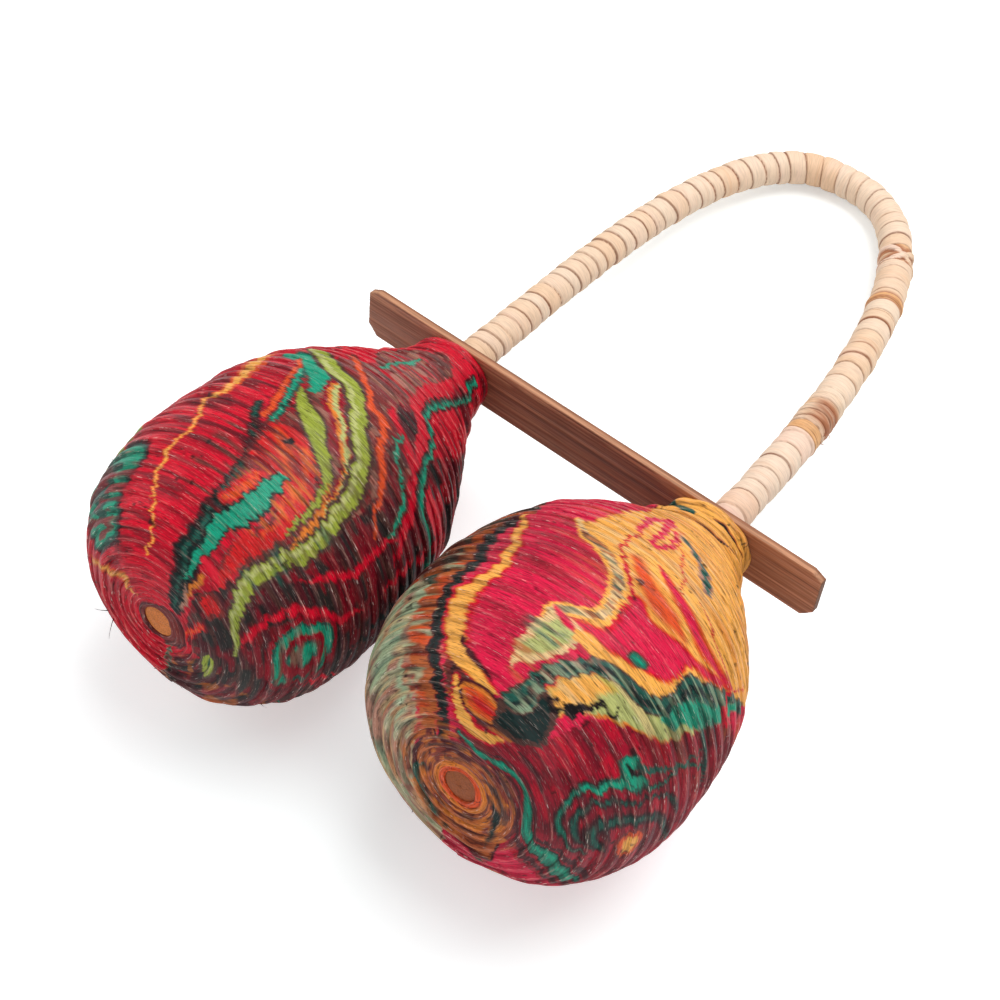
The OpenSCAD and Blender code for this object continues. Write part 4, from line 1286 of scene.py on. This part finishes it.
def doubled_strand(ss, aa, radius, paint, valley, span):
    """A thin orange double strand where a new length of peel is tied in."""
    along = ss - span[1] + 6.9 + 0.9 * np.sin(aa - 0.6)
    for centre in (0.0, 1.3):
        over = 1 - smooth(0.4, 0.65, np.abs(along - centre))
        radius = radius + 0.28 * over
        paint = tint(paint, PEEL_ORANGE, over)
    shadow = 0.7 * smooth(-2.2, -0.9, along) * (1 - smooth(-0.9, -0.6, along))
    paint = tint(paint, PEEL_BROWN, shadow)
    # dark lines of painted shade in the creases beside and between the two strands
    for centre in (-0.75, 0.65, 2.0):
        line = 1 - smooth(0.05, 0.32, np.abs(along - centre))
        paint = tint(paint, PEEL_BROWN, line)
    return radius, paint, valley


def tied_in(ss, aa, radius, paint, valley, span):
    """Brown bast showing on the outer side where two lengths of peel meet."""
    x = (ss - span[0]) / (span[1] - span[0])
    outer = smooth(-0.1, 0.7, np.cos(aa - 2.6))
    band = smooth(0.12, 0.3, x) * (1 - smooth(0.6, 0.85, x)) * outer
    streaks = smooth(-0.5, 0.5, noise(aa / (2 * np.pi), ss / 0.7, 5, 77))
    paint = tint(paint, PEEL_BROWN, band * mix(0.6, 1.0, streaks))
    return radius + 0.3 * band * (streaks - 0.3), paint, valley


def pink_end(ss, aa, radius, paint, valley, span):
    """The last turn by the crossbar: pinker, with its tail tucked under in a slot darkened with painted
    shade.
    """
    paint = tint(paint, srgb(228, 186, 168), smooth(span[1] - 7, span[1] - 4, ss) * 0.8)
    # the slot under the tucked tail: a shallow dip with painted shade
    slot = smooth(span[1] - 1.1, span[1] - 0.5, ss) * smooth(0.2, 0.8, np.cos(aa + 0.5))
    return radius - 0.35 * slot, tint(paint, PEEL_BROWN * 0.4, slot), valley


LEG_START = 6.0
PLUG_DOME = 0.32


def build_cane():
    """One bent cane from plug to plug; each end is a slightly domed disc of open grain."""
    legs = []
    for side, order in (("left", -1), ("right", 1)):
        shape = SHELLS[side]
        along = np.linspace(LEG_START, shape["length"], 60)[:, None]
        leg = in_plane(shape["x"], 0.0) + shape["axes"][2] * along
        legs.append(leg[::order])
    line = np.concatenate([legs[0], LOOP[::12], legs[1]])
    sides = 48
    tube = rings_round(line, CANE_R, sides, BAR_UP)
    ends = []
    for at, ahead in ((0, line[0] - line[1]), (-1, line[-1] - line[-2])):
        ahead = ahead / np.linalg.norm(ahead)
        rim = tube[:sides] if at == 0 else tube[-sides:]
        rings = []
        for share in (0.94, 0.8, 0.62, 0.44, 0.26, 0.1):
            rough = 0.06 * lattice(np.arange(sides), np.full(sides, int(share * 100)), 4)
            dome = PLUG_DOME * (1 - share ** 2)
            rings.append(line[at] + (rim - line[at]) * share + ahead * (dome + rough)[:, None])
        ends.append(np.concatenate(rings))
    first = ends[0].reshape(-1, sides, 3)[::-1].reshape(-1, 3)
    points = np.concatenate([first, tube, ends[1]])
    rows = len(points) // sides
    faces = tube_faces(rows, sides)[:, ::-1]
    along = np.repeat(arc_lengths(line), sides)
    around = np.tile(round_angles(sides), len(line))
    fibre = np.stack([np.cos(around) * 9, np.sin(around) * 9, along / 12], 1)
    grain = np.concatenate([first / 0.4, fibre, ends[1] / 0.4])
    paint = np.tile(srgb(196, 140, 86), (len(points), 1))
    paint[:len(first) + sides * 3] = srgb(206, 116, 50)
    paint[-len(ends[1]) - sides * 3:] = srgb(150, 78, 40)
    lids = np.arange(len(faces)) >= (rows - 1) * sides
    return make_piece("cane", points, faces, CANE, ["cane"], "cane", flat=lids, paint=paint, fibre=grain,
                      valley=np.zeros(len(points)))


SLAT_LAP = 900  # length over which the slat's noise would repeat


def build_crossbar():
    """The split slat: the CAD outline remeshed finely, its edges rubbed and its long grain raised."""
    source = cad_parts["crossbar"]
    mesh = source.data.copy()
    co = np.array([v.co for v in mesh.vertices], float) / MM
    local = co - BAR_HOME
    flat = np.stack([local[:, 0], local @ BAR_BACK, local @ BAR_UP], 1)
    mesh.vertices.foreach_set("co", flat.astype(np.float32).ravel())
    obj = bpy.data.objects.new("slat_work", mesh)
    link(obj)
    weld = obj.modifiers.new("weld", "WELD")
    weld.merge_threshold = 0.01
    remesh = obj.modifiers.new("fine", "REMESH")
    remesh.mode = "VOXEL"
    remesh.voxel_size = 0.34
    even = obj.modifiers.new("even", "SMOOTH")
    even.iterations = 3
    even.factor = 0.5
    view = obj.evaluated_get(bpy.context.evaluated_depsgraph_get())
    made = bpy.data.meshes.new_from_object(view)
    points = np.array([v.co for v in made.vertices], float)
    faces = np.array([p.vertices[:] for p in made.polygons], int)
    normal = np.array([v.normal for v in made.vertices], float)
    bpy.data.objects.remove(obj)
    x, y, z = points.T
    face = np.clip(np.abs(normal[:, 1]), 0, 1)
    lap = x / SLAT_LAP
    lines = 0.6 * noise(lap, z / 0.7, 7, 21) + 0.75 * noise(lap, z / 0.3, 11, 22)
    edge_lines = noise(x / 700, y / 0.4 + 40, 9, 23)
    depth = 0.09 * lines * face + 0.05 * edge_lines * (1 - face)
    bow = 0.25 * np.sin(x / 40) + 0.15 * noise(x / 300, z * 0 + 3, 9, 24)
    points = points + normal * depth[:, None]
    points[:, 2] += bow * 0.3
    splinter = smooth(BAR_LENGTH / 2 - 5, BAR_LENGTH / 2 - 1.5, x)
    splinter = splinter * smooth(1.4 - BAR_HEIGHT / 2, -BAR_HEIGHT / 2, z)
    points[:, 2] -= splinter * (0.5 + 0.5 * noise(lap, y / 0.8, 500, 26))
    front = smooth(0.2, 0.9, -normal[:, 1])
    top = smooth(0.3, 0.9, normal[:, 2])
    end = smooth(0.3, 0.9, np.abs(normal[:, 0]))
    paint = np.tile(srgb(176, 120, 84), (len(points), 1))
    face_dye = tint(srgb(190, 134, 104), srgb(156, 102, 76), smooth(-0.7, 0.1, lines))
    face_dye = tint(face_dye, srgb(104, 64, 46), smooth(0.25, 0.9, lines) * 0.65)
    face_dye = tint(face_dye, srgb(184, 130, 104), smooth(-30, -66, x) * 0.5)
    paint = tint(paint, face_dye, np.maximum(front, 0.7 * smooth(0.2, 0.9, normal[:, 1])))
    top_dye = tint(srgb(196, 142, 108), srgb(150, 98, 70), smooth(-0.1, 0.3, y - 0.1))
    paint = tint(paint, top_dye, top)
    chipped = smooth(BAR_HEIGHT / 2 - 1.5, BAR_HEIGHT / 2 - 0.3, z)
    chipped = chipped * smooth(-0.1, 0.4, noise(lap, z / 0.9 + 9, 61, 25))
    paint = tint(paint, srgb(204, 146, 110), chipped * front * 0.8)
    paint = tint(paint, srgb(88, 52, 38), end * 0.75)
    fibre = np.stack([x / 14, y / 0.5, z / 0.5], 1)
    world = BAR_HOME + points @ np.stack([[1.0, 0.0, 0.0], BAR_BACK, BAR_UP])
    bpy.data.meshes.remove(made)
    return make_piece("crossbar", world, faces, SLAT, ["crossbar"], "slat", paint=paint, fibre=fibre,
                      valley=np.zeros(len(world)))


def build_seeds():
    """Each seed is a slightly flattened, dented pip in the place of its solid."""
    for name in sorted(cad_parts):
        if "_seed_" not in name:
            continue
        lo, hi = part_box(name)
        middle = np.array((lo + hi) / 2) / MM
        radius = (hi - lo)[0] / 2 / MM
        index = sum(ord(c) for c in name)
        rows, columns = 26, 40
        v = np.linspace(2, 178, rows)
        h = np.linspace(0, 360, columns + 1)[:-1]
        vv, hh = grid(v, h)
        bump = 1 - 0.045 * np.abs(noise(hh / 360, vv / 40, 4, index))
        bump = bump - 0.02 * np.abs(noise(hh / 360, vv / 14, 9, index))
        way = np.stack([sind(vv) * cosd(hh), sind(vv) * sind(hh), cosd(vv)], 1)
        points = middle + way * (radius * 0.985 * bump)[:, None] * np.array([1.0, 0.96, 0.92])
        fibre = way * 1.6 + index
        faces = tube_faces(rows, columns)[:, ::-1]
        make_piece(name, points, faces, SEED, [name], "seed", body=name,
                   paint=np.tile(srgb(90, 52, 32), (len(points), 1)), fibre=fibre)


def build_handle():
    wrap = Wrap(12)
    plain = (PEEL, "rattan_peel")
    dark = (DARK_PEEL, "dark_peel", PEEL_ORANGE)
    strands = ((0.72, 168, 1.9, 0.8, 0.8), (0.66, 160, 1.6, -0.7, -0.6), (0.8, 176, 1.2, 0.5, -0.5))
    peel_piece(wrap, "left_leg_peel", 0, 9, *plain, PEEL_TAN)
    peel_piece(wrap, "arch_peel", 9, 42, *plain, PEEL_TAN)
    peel_piece(wrap, "splice_knot_peel", 42, 44, *dark, adorn=crossed_ends)
    peel_piece(wrap, "narrow_turns_peel", 44, 49, *plain, PEEL_TAN, extra=0.1, adorn=doubled_strand)
    peel_piece(wrap, "right_arch_peel", 49, 55, *plain, PEEL_TAN)
    peel_piece(wrap, "dark_splice_peel", 55, 57, *dark, extra=0.15, adorn=tied_in, hairs=strands)
    peel_piece(wrap, "right_leg_peel", 57, 60, *plain, PEEL_PINK, adorn=pink_end)


# ---- floor, light and camera; places of the floor and the lamps are in metres ----
FLOOR_SIZE = 6
FLOOR_DROP = 0.0004
FLOOR_GLOW = 0.37
SKY_STRENGTH = 0.3


def build_stage():
    """White paper that glows a little for the camera alone, a soft lamp overhead and two weak fills."""
    paper = Look("pale_floor")
    where = paper.node("ShaderNodeTexCoord").outputs["Object"]
    tooth = paper.grain(where, 900.0, 3.0)
    paper.put("Base Color", paper.blend(tooth, srgb(232, 238, 239), srgb(240, 246, 246)))
    paper.put("Roughness", 0.8)
    seen = paper.node("ShaderNodeLightPath").outputs["Is Camera Ray"]
    white = (1.0, 1.0, 1.0, 1.0)
    paper.bsdf.inputs["Emission Color"].default_value = white
    paper.put("Emission Strength", paper.maths("MULTIPLY", seen, FLOOR_GLOW))
    bpy.ops.mesh.primitive_plane_add(size=FLOOR_SIZE, location=(0, 0, -FLOOR_DROP))
    floor = bpy.context.object
    floor.name = "floor"
    floor.data.materials.append(paper.material)
    world = bpy.data.worlds.new("studio")
    world.use_nodes = True
    sky = world.node_tree.nodes["Background"].inputs
    sky["Color"].default_value = white
    sky["Strength"].default_value = SKY_STRENGTH
    bpy.context.scene.world = world
    for name, place, size, watts in (
            ("key", (0.15, 0.5, 1.0), 1.0, 13.6),
            ("left_fill", (-0.85, -0.25, 0.55), 0.7, 3.0),
            ("front_fill", (0.5, -0.9, 0.5), 0.8, 4.0)):
        lamp = bpy.data.lights.new(name, "AREA")
        lamp.shape = "SQUARE"
        lamp.size = size
        lamp.energy = watts
        obj = bpy.data.objects.new(name, lamp)
        obj.location = place
        obj.rotation_euler = Vector(place).to_track_quat("Z", "Y").to_euler()
        link(obj)


SENSOR_WIDTH = 36.0
CAMERA_PLACE = (168.6, -246.8, 394.5)
CAMERA_AZIMUTH = 41.51
CAMERA_ELEVATION = 53.65
CAMERA_ROLL = 1.21
CAMERA_LENS = 65.24


def build_camera():
    """The camera of the photograph, as fitted to it: the view from CAMERA_PLACE, in millimetres."""
    az, el = CAMERA_AZIMUTH, CAMERA_ELEVATION
    ahead = Vector((-sind(az) * cosd(el), cosd(az) * cosd(el), -sind(el)))
    right = ahead.cross(Vector((0, 0, 1))).normalized()
    up = right.cross(ahead)
    turned = right * cosd(CAMERA_ROLL) - up * sind(CAMERA_ROLL)
    above = turned.cross(ahead)
    basis = Matrix((turned, above, -ahead)).transposed().to_4x4()
    camera = bpy.data.objects.new("camera", bpy.data.cameras.new("camera"))
    camera.data.lens = CAMERA_LENS
    camera.data.sensor_width = SENSOR_WIDTH
    camera.data.clip_start = 0.01
    camera.matrix_world = Matrix.Translation(Vector(CAMERA_PLACE) * MM) @ basis
    link(camera)
    bpy.context.scene.camera = camera
    bpy.context.scene.view_settings.view_transform = "Standard"


build_shell("left", 100)
build_shell("right", 200)
build_cane()
build_crossbar()
build_handle()
build_seeds()
build_stage()
build_camera()
